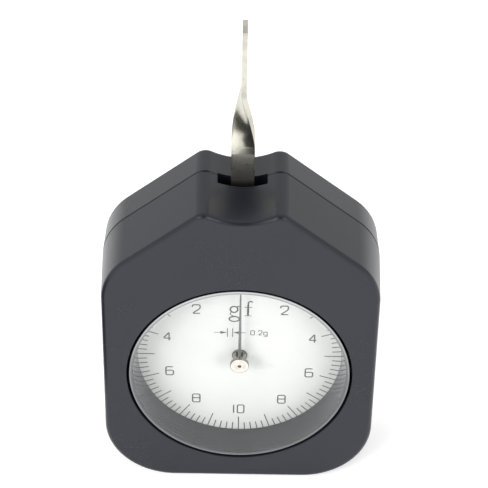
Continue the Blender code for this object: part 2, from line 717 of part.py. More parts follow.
def make_chassis(material):
    """The plate that fills the case behind the dial and carries the front bearings."""
    outline = case_outline(-CASE_WALL - CHASSIS_SIDE_GAP, CASE_WALL + CHASSIS_SIDE_GAP)
    chassis = make_piece("chassis_plate", prism(outline, CHASSIS_FRONT, CHASSIS_BACK), material)
    holes = [(x, z, COVER_BOSS_RADIUS + DIAL_SIDE_GAP) for _, x, z in cover_places()]
    holes += [(x, z, CHASSIS_SCREW_RADIUS + SEAT_GAP) for _, x, z in chassis_places()]
    holes += [(x, z, PILLAR_SPIGOT_RADIUS + PIN_GAP) for _, x, z in pillar_places()]
    holes.append((0.0, DIAL_HEIGHT, BUSH_RADIUS + PIN_GAP))
    holes.append((0.0, PIVOT_HEIGHT, LEVER_BUSH_RADIUS + PIN_GAP))
    stop_z = PIVOT_HEIGHT - STOP_PIN_BELOW_PIVOT
    holes += [(side * stop_pin_offset(), stop_z, STOP_PIN_RADIUS + PIN_GAP) for side in (-1, 1)]
    drill(chassis, holes, CHASSIS_FRONT, CHASSIS_BACK)


def make_bridge(material):
    """The rear plate of the movement, on four pillars."""
    half = [
        (BRIDGE_HALF_WIDTH, BRIDGE_BOTTOM),
        (BRIDGE_HALF_WIDTH, BRIDGE_WAIST),
        (BRIDGE_TOP_HALF_WIDTH, BRIDGE_TOP),
    ]
    outline = half + [(-x, z) for x, z in reversed(half)]
    shape = prism(outline, BRIDGE_DEPTH, BRIDGE_BACK)
    corners = [
        edge for edge in shape.edges
        if abs(edge.verts[0].co.y - edge.verts[1].co.y) > PLATE_THICKNESS / 2
    ]
    bmesh.ops.bevel(
        shape, geom=corners, offset=BRIDGE_CORNER_RADIUS, segments=EDGE_STEPS,
        profile=0.5, affect="EDGES", clamp_overlap=True, material=-1,
    )
    bridge = make_piece("bridge_plate", shape, material)
    holes = [(x, z, PILLAR_SCREW_RADIUS + SEAT_GAP) for _, x, z in pillar_places()]
    holes.append((0.0, DIAL_HEIGHT, BUSH_RADIUS + PIN_GAP))
    holes.append((0.0, PIVOT_HEIGHT, LEVER_BUSH_RADIUS + PIN_GAP))
    drill(bridge, holes, BRIDGE_DEPTH, BRIDGE_BACK)


def make_pillars(material):
    """Four turned pillars, riveted to the chassis and tapped for the bridge's screws."""
    front = CHASSIS_BACK + PIN_GAP
    back = BRIDGE_DEPTH - PIN_GAP
    thread_end = back - PILLAR_SCREW_BITE - BLIND_HOLE_SPARE
    profile = [
        (CHASSIS_FRONT, 0.0),
        (CHASSIS_FRONT, PILLAR_SPIGOT_RADIUS),
        (front, PILLAR_SPIGOT_RADIUS),
        (front, PILLAR_RADIUS),
        (back, PILLAR_RADIUS),
        (back, PILLAR_THREAD_RADIUS),
        (thread_end, PILLAR_THREAD_RADIUS),
        (thread_end, 0.0),
    ]
    for place, x, z in pillar_places():
        make_piece("pillar_" + place, turned(profile, PIN_SEGMENTS), material, x, z)


def make_bushes(material):
    """The plain bearings of the lever arbor, and the rear one of the pointer arbor."""
    bore = LEVER_PIVOT_RADIUS + PIN_GAP
    flange = CHASSIS_BACK + PIN_GAP
    front_bush = [
        (CHASSIS_FRONT, bore),
        (CHASSIS_FRONT, LEVER_BUSH_RADIUS),
        (flange, LEVER_BUSH_RADIUS),
        (flange, LEVER_BUSH_FLANGE_RADIUS),
        (flange + LEVER_BUSH_FLANGE, LEVER_BUSH_FLANGE_RADIUS),
        (flange + LEVER_BUSH_FLANGE, bore),
    ]
    shape = turned(front_bush, PIN_SEGMENTS)
    make_piece("lever_bush_front", shape, material, z=PIVOT_HEIGHT)
    for name, height, outer, rim, hole in (
        ("lever_bush_rear", PIVOT_HEIGHT, LEVER_BUSH_RADIUS, LEVER_BUSH_FLANGE_RADIUS, bore),
        (
            "pointer_bush_rear", DIAL_HEIGHT, BUSH_RADIUS, BUSH_FLANGE_RADIUS,
            ARBOR_PIVOT_RADIUS + PIN_GAP,
        ),
    ):
        flange = BRIDGE_DEPTH - PIN_GAP
        rear_bush = [
            (BRIDGE_BACK, hole),
            (flange - LEVER_BUSH_FLANGE, hole),
            (flange - LEVER_BUSH_FLANGE, rim),
            (flange, rim),
            (flange, outer),
            (BRIDGE_BACK, outer),
        ]
        make_piece(name, turned(rear_bush, PIN_SEGMENTS), material, z=height)


def make_pointer_arbor(material, pivot):
    """The axle that carries hub and pinion."""
    front, back = ARBOR_SHOULDER_FRONT, ARBOR_SHOULDER_BACK
    profile = [
        (HUB_FRONT + HUB_DIMPLE_DEPTH, 0.0),
        (HUB_FRONT + HUB_DIMPLE_DEPTH, ARBOR_TIP_RADIUS),
        (front, ARBOR_TIP_RADIUS),
        (front, ARBOR_RADIUS),
        (back, ARBOR_RADIUS),
        (back, ARBOR_PIVOT_RADIUS),
        (back + LEVER_BUSH_FLANGE + PIVOT_REACH, ARBOR_PIVOT_RADIUS),
        (back + LEVER_BUSH_FLANGE + PIVOT_REACH, 0.0),
    ]
    shape = turned(profile, PIN_SEGMENTS)
    make_piece("pointer_arbor", shape, material, z=DIAL_HEIGHT, pivot=pivot)


def make_lever_arbor(material, pivot):
    """The axle of the lever, with a thin pivot at each end."""
    front, back = ARBOR_SHOULDER_FRONT, ARBOR_SHOULDER_BACK
    reach = LEVER_BUSH_FLANGE + PIVOT_REACH
    profile = [
        (front - reach, 0.0),
        (front - reach, LEVER_PIVOT_RADIUS),
        (front, LEVER_PIVOT_RADIUS),
        (front, LEVER_ARBOR_RADIUS),
        (back, LEVER_ARBOR_RADIUS),
        (back, LEVER_PIVOT_RADIUS),
        (back + reach, LEVER_PIVOT_RADIUS),
        (back + reach, 0.0),
    ]
    shape = turned(profile, PIN_SEGMENTS)
    make_piece("lever_arbor", shape, material, z=PIVOT_HEIGHT, pivot=pivot)


# Gears


def involute(angle):
    """The involute function of an angle in radians."""
    return math.tan(angle) - angle


def tooth_half_angle(pitch_radius, radius):
    """Half the angle that a tooth fills at a radius, in radians. Below the base it stays."""
    pressure = math.radians(PRESSURE_ANGLE)
    base = pitch_radius * math.cos(pressure)
    at_pitch = (math.pi * GEAR_MODULE / 2 - BACKLASH / 2) / (2 * pitch_radius)
    lean = math.acos(base / max(radius, base))
    return at_pitch + involute(pressure) - involute(lean)


def tooth_points(pitch_radius, addendum_share, centre_angle):
    """One tooth as (x, z) points, counterclockwise, from root to root."""
    root = pitch_radius - DEDENDUM_SHARE * GEAR_MODULE
    tip = pitch_radius + addendum_share * GEAR_MODULE
    levels = [root, (root + pitch_radius) / 2, pitch_radius, (pitch_radius + tip) / 2, tip]
    rising = [(r, centre_angle - tooth_half_angle(pitch_radius, r)) for r in levels]
    falling = [(r, centre_angle + tooth_half_angle(pitch_radius, r)) for r in reversed(levels)]
    return [(r * math.cos(a), r * math.sin(a)) for r, a in rising + falling]


def make_pinion(material, pivot):
    """The pinion on the pointer arbor. A gap between two of its teeth faces the sector."""
    step = math.tau / PINION_TEETH
    outline = []
    for tooth in range(PINION_TEETH):
        centre = math.pi / 2 + step * (tooth + 0.5)
        outline += tooth_points(PINION_PITCH_RADIUS, PINION_ADDENDUM_SHARE, centre)
    front = SECTOR_DEPTH - PINION_OVERHANG
    back = SECTOR_BACK + PINION_OVERHANG
    pinion = make_piece(
        "pinion", prism(outline, front, back), material, z=DIAL_HEIGHT, pivot=pivot
    )
    drill(pinion, [(0.0, DIAL_HEIGHT, ARBOR_RADIUS + PIN_GAP)], front, back)


def make_sector(material, pivot):
    """The fan-shaped gear under the lever's arbor. Its middle tooth points straight down."""
    step = math.tau / SECTOR_FULL_TEETH
    down = -math.pi / 2
    root = SECTOR_PITCH_RADIUS - DEDENDUM_SHARE * GEAR_MODULE
    end = step * (SECTOR_TEETH_EACH_SIDE + 0.5)
    outline = [(root * math.cos(down - end), root * math.sin(down - end))]
    for tooth in range(-SECTOR_TEETH_EACH_SIDE, SECTOR_TEETH_EACH_SIDE + 1):
        outline += tooth_points(SECTOR_PITCH_RADIUS, SECTOR_ADDENDUM_SHARE, down + step * tooth)
    outline.append((root * math.cos(down + end), root * math.sin(down + end)))
    hub = SECTOR_HUB_RADIUS
    outline += arc(0.0, 0.0, hub, hub, 0.0, 180.0, PIN_SEGMENTS // 2)
    sector = make_piece(
        "sector_gear", prism(outline, SECTOR_DEPTH, SECTOR_BACK), material,
        z=PIVOT_HEIGHT, pivot=pivot,
    )
    pin_z = PIVOT_HEIGHT - DRIVE_PIN_BELOW_PIVOT
    holes = [
        (0.0, PIVOT_HEIGHT, LEVER_ARBOR_RADIUS + PIN_GAP),
        (0.0, pin_z, DRIVE_PIN_RADIUS + PIN_GAP),
    ]
    drill(sector, holes, SECTOR_DEPTH, SECTOR_BACK)


# Lever


def make_lever(material, pivot):
    """The measuring strip: flat at the case, a quarter twist, and a blade edge-on to the dial."""
    shape = bmesh.new()
    foot = PIVOT_HEIGHT + LEVER_FOOT_ABOVE_PIVOT
    half = LEVER_WIDTH / 2
    corners = [
        (-half, LEVER_FRONT), (half, LEVER_FRONT), (half, LEVER_BACK), (-half, LEVER_BACK),
    ]
    bottom = [shape.verts.new((x, y_at(depth), foot)) for x, depth in corners]
    top = shape.faces.new(bottom)
    axis = (0.0, y_at(LEVER_DEPTH), 0.0)
    rise = (TWIST_TOP - TWIST_BOTTOM) / TWIST_STEPS
    turn = Matrix.Rotation(math.radians(-TWIST_ANGLE / TWIST_STEPS), 3, "Z")
    lifts = [(TWIST_BOTTOM - foot, None)] + [(rise, turn)] * TWIST_STEPS
    lifts.append((LEVER_TOP - TWIST_TOP, None))
    for lift, twist in lifts:
        section = [top, *top.edges, *top.verts]
        grown = bmesh.ops.extrude_face_region(shape, geom=section)["geom"]
        moved = [item for item in grown if isinstance(item, bmesh.types.BMVert)]
        top = next(item for item in grown if isinstance(item, bmesh.types.BMFace))
        bmesh.ops.translate(shape, verts=moved, vec=(0.0, 0.0, lift))
        if twist:
            bmesh.ops.rotate(shape, verts=moved, cent=axis, matrix=twist)
    tips = [edge for edge in top.edges if edge.calc_length() < LEVER_WIDTH / 2]
    bmesh.ops.bevel(
        shape, geom=tips, offset=LEVER_TIP_RADIUS, segments=EDGE_STEPS,
        profile=0.5, affect="EDGES", clamp_overlap=True, material=-1,
    )
    bmesh.ops.translate(shape, verts=shape.verts, vec=(0.0, 0.0, -PIVOT_HEIGHT))
    lever = make_piece("lever_blade", shape, material, z=PIVOT_HEIGHT, pivot=pivot)
    holes = [(0.0, z, CLAMP_SCREW_RADIUS + SEAT_GAP) for z in clamp_screw_heights()]
    drill(lever, holes, LEVER_FRONT, LEVER_BACK)


def clamp_screw_heights():
    """Heights of the two screws that clamp the strip to its arm."""
    lower = PIVOT_HEIGHT + CLAMP_SCREW_ABOVE_PIVOT
    return lower, lower + CLAMP_SCREW_PITCH


def make_lever_arm(material, pivot):
    """The bar on the lever arbor. The strip is screwed to it above, and its tail meets the stops."""
    half = [
        (ARM_TAIL_HALF_WIDTH, -ARM_BELOW_PIVOT),
        (ARM_TAIL_HALF_WIDTH, -ARM_TAPER),
        (ARM_HALF_WIDTH, 0.0),
        (ARM_HALF_WIDTH, ARM_ABOVE_PIVOT),
    ]
    outline = half + [(-x, z) for x, z in reversed(half)]
    arm = make_piece(
        "lever_arm", prism(outline, ARM_FRONT, ARM_BACK), material, z=PIVOT_HEIGHT, pivot=pivot
    )
    holes = [
        (0.0, PIVOT_HEIGHT, LEVER_ARBOR_RADIUS + PIN_GAP),
        (0.0, PIVOT_HEIGHT - DRIVE_PIN_BELOW_PIVOT, DRIVE_PIN_RADIUS + PIN_GAP),
    ]
    holes += [(0.0, z, CLAMP_SCREW_RADIUS + PIN_GAP) for z in clamp_screw_heights()]
    drill(arm, holes, ARM_FRONT, ARM_BACK)


def make_drive_pin(material, pivot):
    """The pin that keys the sector to the lever's arm."""
    z = PIVOT_HEIGHT - DRIVE_PIN_BELOW_PIVOT
    shape = pin(DRIVE_PIN_RADIUS, ARM_FRONT, SECTOR_BACK)
    make_piece("drive_pin", shape, material, z=z, pivot=pivot)


def place_clamp_screws(mesh, material, pivot):
    """The two clamp screws, put in from the dial side."""
    seat = y_at(LEVER_FRONT - PIN_GAP)
    for name, z in zip(("lower", "upper"), clamp_screw_heights()):
        screw = place_mesh("clamp_screw_" + name, mesh, material, 0.0, seat, z, pivot)
        screw.rotation_euler = (0.0, 0.0, math.pi)


def stop_pin_offset():
    """Distance of a stop pin from the middle, so that the arm's tail meets it at full swing."""
    swing = math.radians(LEVER_SWING)
    edge = STOP_PIN_BELOW_PIVOT * math.tan(swing) + ARM_TAIL_HALF_WIDTH / math.cos(swing)
    return edge + (STOP_PIN_RADIUS + PIN_GAP) / math.cos(swing)


def make_stop_pins(material):
    """Two pins in the chassis plate that end the lever's swing."""
    z = PIVOT_HEIGHT - STOP_PIN_BELOW_PIVOT
    for side, name in ((-1, "left"), (1, "right")):
        shape = pin(STOP_PIN_RADIUS, CHASSIS_FRONT, ARM_BACK)
        make_piece("stop_pin_" + name, shape, material, side * stop_pin_offset(), z)


# Springs


def spiral_ribbon(inner_radius, pitch, turns, strip, front, back, end_angle):
    """A bmesh of a flat spiral of strip that ends at an angle, between two depths."""
    steps = round(turns * SPIRAL_STEPS_PER_TURN)
    last = math.radians(end_angle)
    inner, outer = [], []
    for step in range(steps + 1):
        share = step / steps
        radius = inner_radius + pitch * turns * share
        angle = last - math.tau * turns * (1 - share)
        for side, reach in ((inner, radius - strip / 2), (outer, radius + strip / 2)):
            side.append((reach * math.cos(angle), reach * math.sin(angle)))
    shape = bmesh.new()
    rows = [[shape.verts.new((x, y_at(front), z)) for x, z in side] for side in (inner, outer)]
    rows = list(zip(*rows))
    faces = [shape.faces.new((a, b, d, c)) for (a, b), (c, d) in zip(rows, rows[1:])]
    grown = bmesh.ops.extrude_face_region(shape, geom=faces)["geom"]
    moved = [item for item in grown if isinstance(item, bmesh.types.BMVert)]
    bmesh.ops.translate(shape, verts=moved, vec=(0.0, back - front, 0.0))
    return shape


def make_spring_set(
    prefix, material, post_material, pivot, height, shaft_radius, inner_radius, pitch, turns,
    strip, width, depth, end_angle, post_radius, post_front, post_back,
):
    """A spiral spring with the collet that grips its inner end and the post of its outer end."""
    shape = spiral_ribbon(inner_radius, pitch, turns, strip, depth, depth + width, end_angle)
    make_piece(prefix, shape, material, z=height, pivot=pivot)
    bore = shaft_radius + PIN_GAP
    rim = inner_radius - strip / 2 - PIN_GAP
    front = depth - COLLET_OVERHANG
    back = depth + width + COLLET_OVERHANG
    profile = [(front, bore), (front, rim), (back, rim), (back, bore)]
    collet = turned(profile, PIN_SEGMENTS)
    make_piece(prefix + "_collet", collet, post_material, z=height, pivot=pivot)
    post_distance = inner_radius + pitch * turns + strip / 2 + PIN_GAP + post_radius
    x = post_distance * math.cos(math.radians(end_angle))
    z = height + post_distance * math.sin(math.radians(end_angle))
    post = pin(post_radius, post_front, post_back)
    make_piece(prefix + "_stud", post, post_material, x, z)


def main():
    """Builds every piece of the gauge."""
    for item in list(bpy.data.objects):
        bpy.data.objects.remove(item)

    shell = make_material("case_plastic", (0.045, 0.048, 0.053), 0.5)
    clear = make_material("crystal_acrylic", (0.9, 0.93, 0.93), 0.05, alpha=0.3)
    white = make_material("dial_enamel", (0.87, 0.87, 0.84), 0.45)
    needle = make_material("pointer_lacquer", (0.05, 0.05, 0.055), 0.4)
    bright = make_material("bright_nickel", (0.78, 0.74, 0.70), 0.2, metallic=1.0)
    steel = make_material("polished_steel", (0.62, 0.60, 0.56), 0.25, metallic=1.0)
    brass = make_material("brass", (0.72, 0.53, 0.25), 0.3, metallic=1.0)
    blued = make_material("spring_steel", (0.16, 0.20, 0.32), 0.3, metallic=1.0)
    zinc = make_material("screw_zinc", (0.55, 0.55, 0.56), 0.35, metallic=1.0)

    lever_pivot = make_pivot("lever_pivot", PIVOT_HEIGHT)
    pointer_pivot = make_pivot("pointer_pivot", DIAL_HEIGHT)

    slot = make_lever_slot()
    make_front_case(shell, slot)
    make_rear_cover(shell, slot)
    make_crystal(clear)
    make_dial(white)
    make_dial_collar(bright)
    make_pointer(needle, pointer_pivot)
    make_pointer_hub(bright, pointer_pivot)
    make_pointer_arbor(steel, pointer_pivot)
    make_pinion(brass, pointer_pivot)

    make_chassis(brass)
    make_bridge(brass)
    make_pillars(brass)
    make_bushes(bright)

    make_lever(steel, lever_pivot)
    make_lever_arm(brass, lever_pivot)
    make_lever_arbor(steel, lever_pivot)
    make_sector(brass, lever_pivot)
    make_drive_pin(steel, lever_pivot)
    make_stop_pins(steel)
    make_spring_set(
        "measuring_spring", blued, brass, lever_pivot, PIVOT_HEIGHT, LEVER_ARBOR_RADIUS,
        SPRING_INNER_RADIUS, SPRING_PITCH, SPRING_TURNS, SPRING_STRIP, SPRING_WIDTH,
        SPRING_DEPTH, SPRING_STUD_ANGLE, SPRING_STUD_RADIUS,
        SPRING_DEPTH, BRIDGE_DEPTH - PIN_GAP,
    )
    make_spring_set(
        "hairspring", blued, brass, pointer_pivot, DIAL_HEIGHT, ARBOR_RADIUS,
        HAIRSPRING_INNER_RADIUS, HAIRSPRING_PITCH, HAIRSPRING_TURNS, HAIRSPRING_STRIP,
        HAIRSPRING_WIDTH, HAIRSPRING_DEPTH, HAIRSPRING_STUD_ANGLE, HAIRSPRING_STUD_RADIUS,
        CHASSIS_BACK + PIN_GAP, HAIRSPRING_DEPTH + HAIRSPRING_WIDTH,
    )

    cover_length = CASE_DEPTH - COUNTERBORE_DEPTH - PARTING_DEPTH + COVER_SCREW_BITE
    cover_screw = screw_mesh(
        "cover_screw", zinc, COVER_SCREW_HEAD_RADIUS, COVER_SCREW_HEAD,
        COVER_SCREW_RADIUS, cover_length, crossed=True,
    )
    chassis_screw = screw_mesh(
        "chassis_screw", zinc, CHASSIS_SCREW_HEAD_RADIUS, CHASSIS_SCREW_HEAD,
        CHASSIS_SCREW_RADIUS, PLATE_THICKNESS + CHASSIS_SCREW_BITE, crossed=False,
    )
    pillar_screw = screw_mesh(
        "pillar_screw", zinc, PILLAR_SCREW_HEAD_RADIUS, PILLAR_SCREW_HEAD,
        PILLAR_SCREW_RADIUS, PLATE_THICKNESS + PILLAR_SCREW_BITE, crossed=False,
    )
    clamp_screw = screw_mesh(
        "clamp_screw", zinc, CLAMP_SCREW_HEAD_RADIUS, CLAMP_SCREW_HEAD,
        CLAMP_SCREW_RADIUS, ARM_BACK - LEVER_FRONT, crossed=False,
    )
    place_screws(
        "cover_screw", cover_screw, zinc, cover_places(), CASE_DEPTH - COUNTERBORE_DEPTH + PIN_GAP
    )
    place_screws("chassis_screw", chassis_screw, zinc, chassis_places(), CHASSIS_BACK + PIN_GAP)
    place_screws("pillar_screw", pillar_screw, zinc, pillar_places(), BRIDGE_BACK + PIN_GAP)
    place_clamp_screws(clamp_screw, zinc, lever_pivot)


main()
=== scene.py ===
"""Fine pieces, finishes, light and camera for the pocket dial tension gauge."""

from __future__ import annotations

import json
import logging
import math
from dataclasses import dataclass, field
from enum import Enum
from functools import lru_cache
from typing import Callable, Iterable, Sequence

import bmesh
import bpy
from mathutils import Matrix, Vector


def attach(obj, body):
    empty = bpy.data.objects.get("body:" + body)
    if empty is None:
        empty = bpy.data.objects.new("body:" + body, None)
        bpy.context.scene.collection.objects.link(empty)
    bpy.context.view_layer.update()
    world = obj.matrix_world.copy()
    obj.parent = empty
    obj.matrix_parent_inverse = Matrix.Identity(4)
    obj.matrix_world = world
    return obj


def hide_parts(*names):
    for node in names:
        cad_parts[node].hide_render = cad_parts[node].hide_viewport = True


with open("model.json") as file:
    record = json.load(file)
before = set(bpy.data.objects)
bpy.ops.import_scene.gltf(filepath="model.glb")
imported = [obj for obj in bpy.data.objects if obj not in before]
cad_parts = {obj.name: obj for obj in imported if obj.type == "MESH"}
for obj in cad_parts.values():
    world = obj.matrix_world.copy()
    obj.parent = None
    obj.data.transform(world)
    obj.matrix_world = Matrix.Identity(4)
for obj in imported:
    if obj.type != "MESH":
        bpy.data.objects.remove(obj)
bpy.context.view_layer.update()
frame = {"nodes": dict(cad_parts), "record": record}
LOG = logging.getLogger("tension_gauge")

Point = tuple[float, float]
Point3 = tuple[float, float, float]
Colour = tuple[float, float, float]
Profile = Sequence[tuple[float, ...]]
Shape = bmesh.types.BMesh
Vert = bmesh.types.BMVert
Face = bmesh.types.BMFace
Edges = list[bmesh.types.BMEdge]
Piece = bpy.types.Object
Node = bpy.types.Node
Socket = bpy.types.NodeSocket
Material = bpy.types.Material

CASE_DEPTH = 0.0240
DIAL_HEIGHT = 0.0310
DIAL_AXIS: Point = (0.0, DIAL_HEIGHT)
DIAL_CENTRE: Point3 = (0.0, 0.0, DIAL_HEIGHT)
NO_STRETCH: Point3 = (1.0, 1.0, 1.0)
MM = 0.001
SAME = 1e-7
SHARP = 35.0
ROUND_STEPS = 144
TUBE_STEPS = 32
ROUND_HANDLE = 0.5523
CORNER_HANDLE = 0.55
CORNER_SHARE = 0.45
GLYPH_ROUNDING = 0.22
UPRIGHT = Matrix.Rotation(math.radians(90.0), 4, "X")


def y_at(depth: float) -> float:
    """World Y of a depth behind the case's front face."""
    return depth - CASE_DEPTH / 2


# Shader maths


class Maths(Enum):
    """The Math node operations that the finishes use."""

    ADD = "ADD"
    SUBTRACT = "SUBTRACT"
    MULTIPLY = "MULTIPLY"
    DIVIDE = "DIVIDE"
    POWER = "POWER"
    SINE = "SINE"


def operator(operation: Maths, swapped: bool = False) -> Callable[[Value, Number], Value]:
    """A Python operator of a value that adds a Math node.

    Args:
        operation: What the node works out.
        swapped: Whether the other number stands first.

    Returns:
        The operator.
    """

    def apply(value: Value, other: Number) -> Value:
        """The node's result."""
        inputs = {int(swapped): value, int(not swapped): other}
        return value.graph.number("Math", {"operation": operation.value}, inputs)

    return apply


@dataclass(frozen=True)
class Value:
    """A number that runs through a material's nodes."""

    graph: Graph
    socket: Socket

    __add__ = __radd__ = operator(Maths.ADD)
    __sub__ = operator(Maths.SUBTRACT)
    __rsub__ = operator(Maths.SUBTRACT, swapped=True)
    __mul__ = operator(Maths.MULTIPLY)
    __truediv__ = operator(Maths.DIVIDE)
    __pow__ = operator(Maths.POWER)

    def sine(self) -> Value:
        """The sine of this value."""
        return self.graph.number("Math", {"operation": Maths.SINE.value}, {0: self})

    def ramp(self, low: float, high: float) -> Value:
        """Smooth step from 0 at low to 1 at high."""
        inputs = {"Value": self, "From Min": low, "From Max": high}
        return self.graph.number("MapRange", {"interpolation_type": "SMOOTHSTEP"}, inputs)

    def step(self, start: float, width: float = 0.00003) -> Value:
        """Smooth step from 0 to 1 over a short width."""
        return self.ramp(start, start + width)

    def within(self, low: float, high: float, blur: float) -> Value:
        """One between two limits, with blurred ends."""
        return self.ramp(low - blur, low + blur) * (1 - self.ramp(high - blur, high + blur))

    def reach(self, other: Value) -> Value:
        """The distance from an axis, of which this and the other are the two parts."""
        return (self * self + other * other) ** 0.5


Number = Value | float


@dataclass
class Graph:
    """The node graph of a material or of the sky."""

    owner: Material | bpy.types.World

    def __post_init__(self) -> None:
        """Empties the graph."""
        self.owner.use_nodes = True
        self.tree = self.owner.node_tree
        self.tree.nodes.clear()

    def node(self, kind: str, settings: dict | None = None, inputs: dict | None = None) -> Node:
        """Adds a node.

        Args:
            kind: The node's type, without the words Shader Node.
            settings: Its properties.
            inputs: Values or links of its sockets, by name or place.

        Returns:
            The node.
        """
        node = self.tree.nodes.new("ShaderNode" + kind)
        for key, setting in (settings or {}).items():
            setattr(node, key, setting)
        for key, given in (inputs or {}).items():
            socket = node.inputs[key]
            if isinstance(given, Value):
                self.tree.links.new(given.socket, socket)
            elif isinstance(given, Socket):
                self.tree.links.new(given, socket)
            elif socket.type == "RGBA":
                socket.default_value = (*given, 1.0)
            else:
                socket.default_value = given
        return node

    def number(self, kind: str, settings: dict | None = None, inputs: dict | None = None) -> Value:
        """A node's first output as a value."""
        return Value(self, self.node(kind, settings, inputs).outputs[0])

    def place(self, centre: Point3 = (0.0, 0.0, 0.0), scale: Point3 = NO_STRETCH) -> Socket:
        """Object coordinates, moved so that a centre is the origin, then scaled.

        Args:
            centre: The point that becomes the origin.
            scale: The scale along each axis.

        Returns:
            The coordinates.
        """
        source = self.node("TexCoord").outputs["Object"]
        moved = tuple(-c * s for c, s in zip(centre, scale))
        inputs = {"Vector": source, "Location": moved, "Scale": scale}
        return self.node("Mapping", {"vector_type": "POINT"}, inputs).outputs[0]

    def axes(self, vector: Socket) -> tuple[Value, Value, Value]:
        """The three parts of a vector."""
        return tuple(Value(self, part) for part in self.node("SeparateXYZ", None, {0: vector}).outputs)

    def noise(self, vector: Socket, scale: float, detail: float = 2.0, rough: float = 0.5) -> Value:
        """Fractal noise between 0 and 1."""
        inputs = {"Vector": vector, "Scale": scale, "Detail": detail, "Roughness": rough}
        return self.number("TexNoise", {"noise_dimensions": "3D"}, inputs)

    def cells(self, vector: Socket, scale: float) -> Value:
        """Distance to the nearest of scattered points."""
        return self.number("TexVoronoi", {"feature": "F1"}, {"Vector": vector, "Scale": scale})

    def blend(self, share: Number, first: Colour | Socket, second: Colour | Socket) -> Socket:
        """A colour between two others."""
        settings = {"data_type": "RGBA", "blend_type": "MIX"}
        return self.node("Mix", settings, {0: share, 6: first, 7: second}).outputs[2]

    def bump(self, height: Value, distance: float, strength: float = 0.4) -> Socket:
        """A normal from a height between 0 and 1, in metres at full height."""
        inputs = {"Height": height, "Distance": distance, "Strength": strength}
        return self.node("Bump", None, inputs).outputs[0]

    def surface(self, colour: Colour | Socket, rough: Number, **more: object) -> Node:
        """A Principled shader, its other sockets named with underscores for spaces."""
        others = {key.replace("_", " "): given for key, given in more.items()}
        return self.node("BsdfPrincipled", None, {"Base Color": colour, "Roughness": rough, **others})

    def finish(self, shader: Node, output: str = "OutputMaterial") -> Material | bpy.types.World:
        """Links a shader to the output and returns the graph's owner."""
        self.node(output, None, {"Surface": shader.outputs[0]})
        return self.owner


# Finishes


class Finish:
    """A look that becomes a material."""

    name: str

    def shader(self, graph: Graph) -> Node:
        """Builds the look in a material's empty graph and returns its shader."""
        raise NotImplementedError

    def material(self) -> Material:
        """The look as a material."""
        graph = Graph(bpy.data.materials.new(self.name))
        return graph.finish(self.shader(graph))


@dataclass(frozen=True)
class CasePlastic(Finish):
    """Dark grey moulded plastic with a fine even grain."""

    name: str = "case_plastic_moulded"
    dark: Colour = (0.006, 0.0068, 0.011)
    pale: Colour = (0.010, 0.0112, 0.0165)
    roughness: float = 0.24
    gloss: float = 0.37

    def shader(self, graph: Graph) -> Node:
        """Grain and pits, see Finish.shader."""
        place = graph.place()
        cloud = graph.noise(place, 45.0, 3.0).ramp(0.3, 0.7)
        grain = graph.noise(place, 2600.0, 3.0, 0.6)
        pits = graph.cells(place, 1500.0).ramp(0.05, 0.35)
        colour = graph.blend(cloud * 0.35 + grain * 0.65, self.dark, self.pale)
        normal = graph.bump(grain * 0.7 + pits * 0.3, 0.000012)
        rough = self.roughness + cloud * 0.05 + grain * 0.06
        return graph.surface(colour, rough, Normal=normal, IOR=1.5, Specular_IOR_Level=self.gloss)


@dataclass(frozen=True)
class ClearPane(Finish):
    """Clear acrylic, of which only the gloss shows."""

    name: str = "crystal_acrylic_clear"
    clear: Colour = (0.985, 0.99, 0.99)
    gloss: Colour = (1.0, 1.0, 1.0)
    roughness: float = 0.03
    straight: float = 0.023

    def shader(self, graph: Graph) -> Node:
        """A mirror that grows with the slant, see Finish.shader."""
        haze = graph.noise(graph.place(DIAL_CENTRE), 400.0)
        clear = graph.node("BsdfTransparent", None, {"Color": self.clear})
        rough = haze * 0.02 + self.roughness
        gloss = graph.node("BsdfGlossy", None, {"Color": self.gloss, "Roughness": rough})
        slant = Value(graph, graph.node("LayerWeight").outputs["Facing"])
        mirror = slant**5 * (1 - self.straight) + self.straight
        return graph.node("MixShader", None, {0: mirror, 1: clear.outputs[0], 2: gloss.outputs[0]})


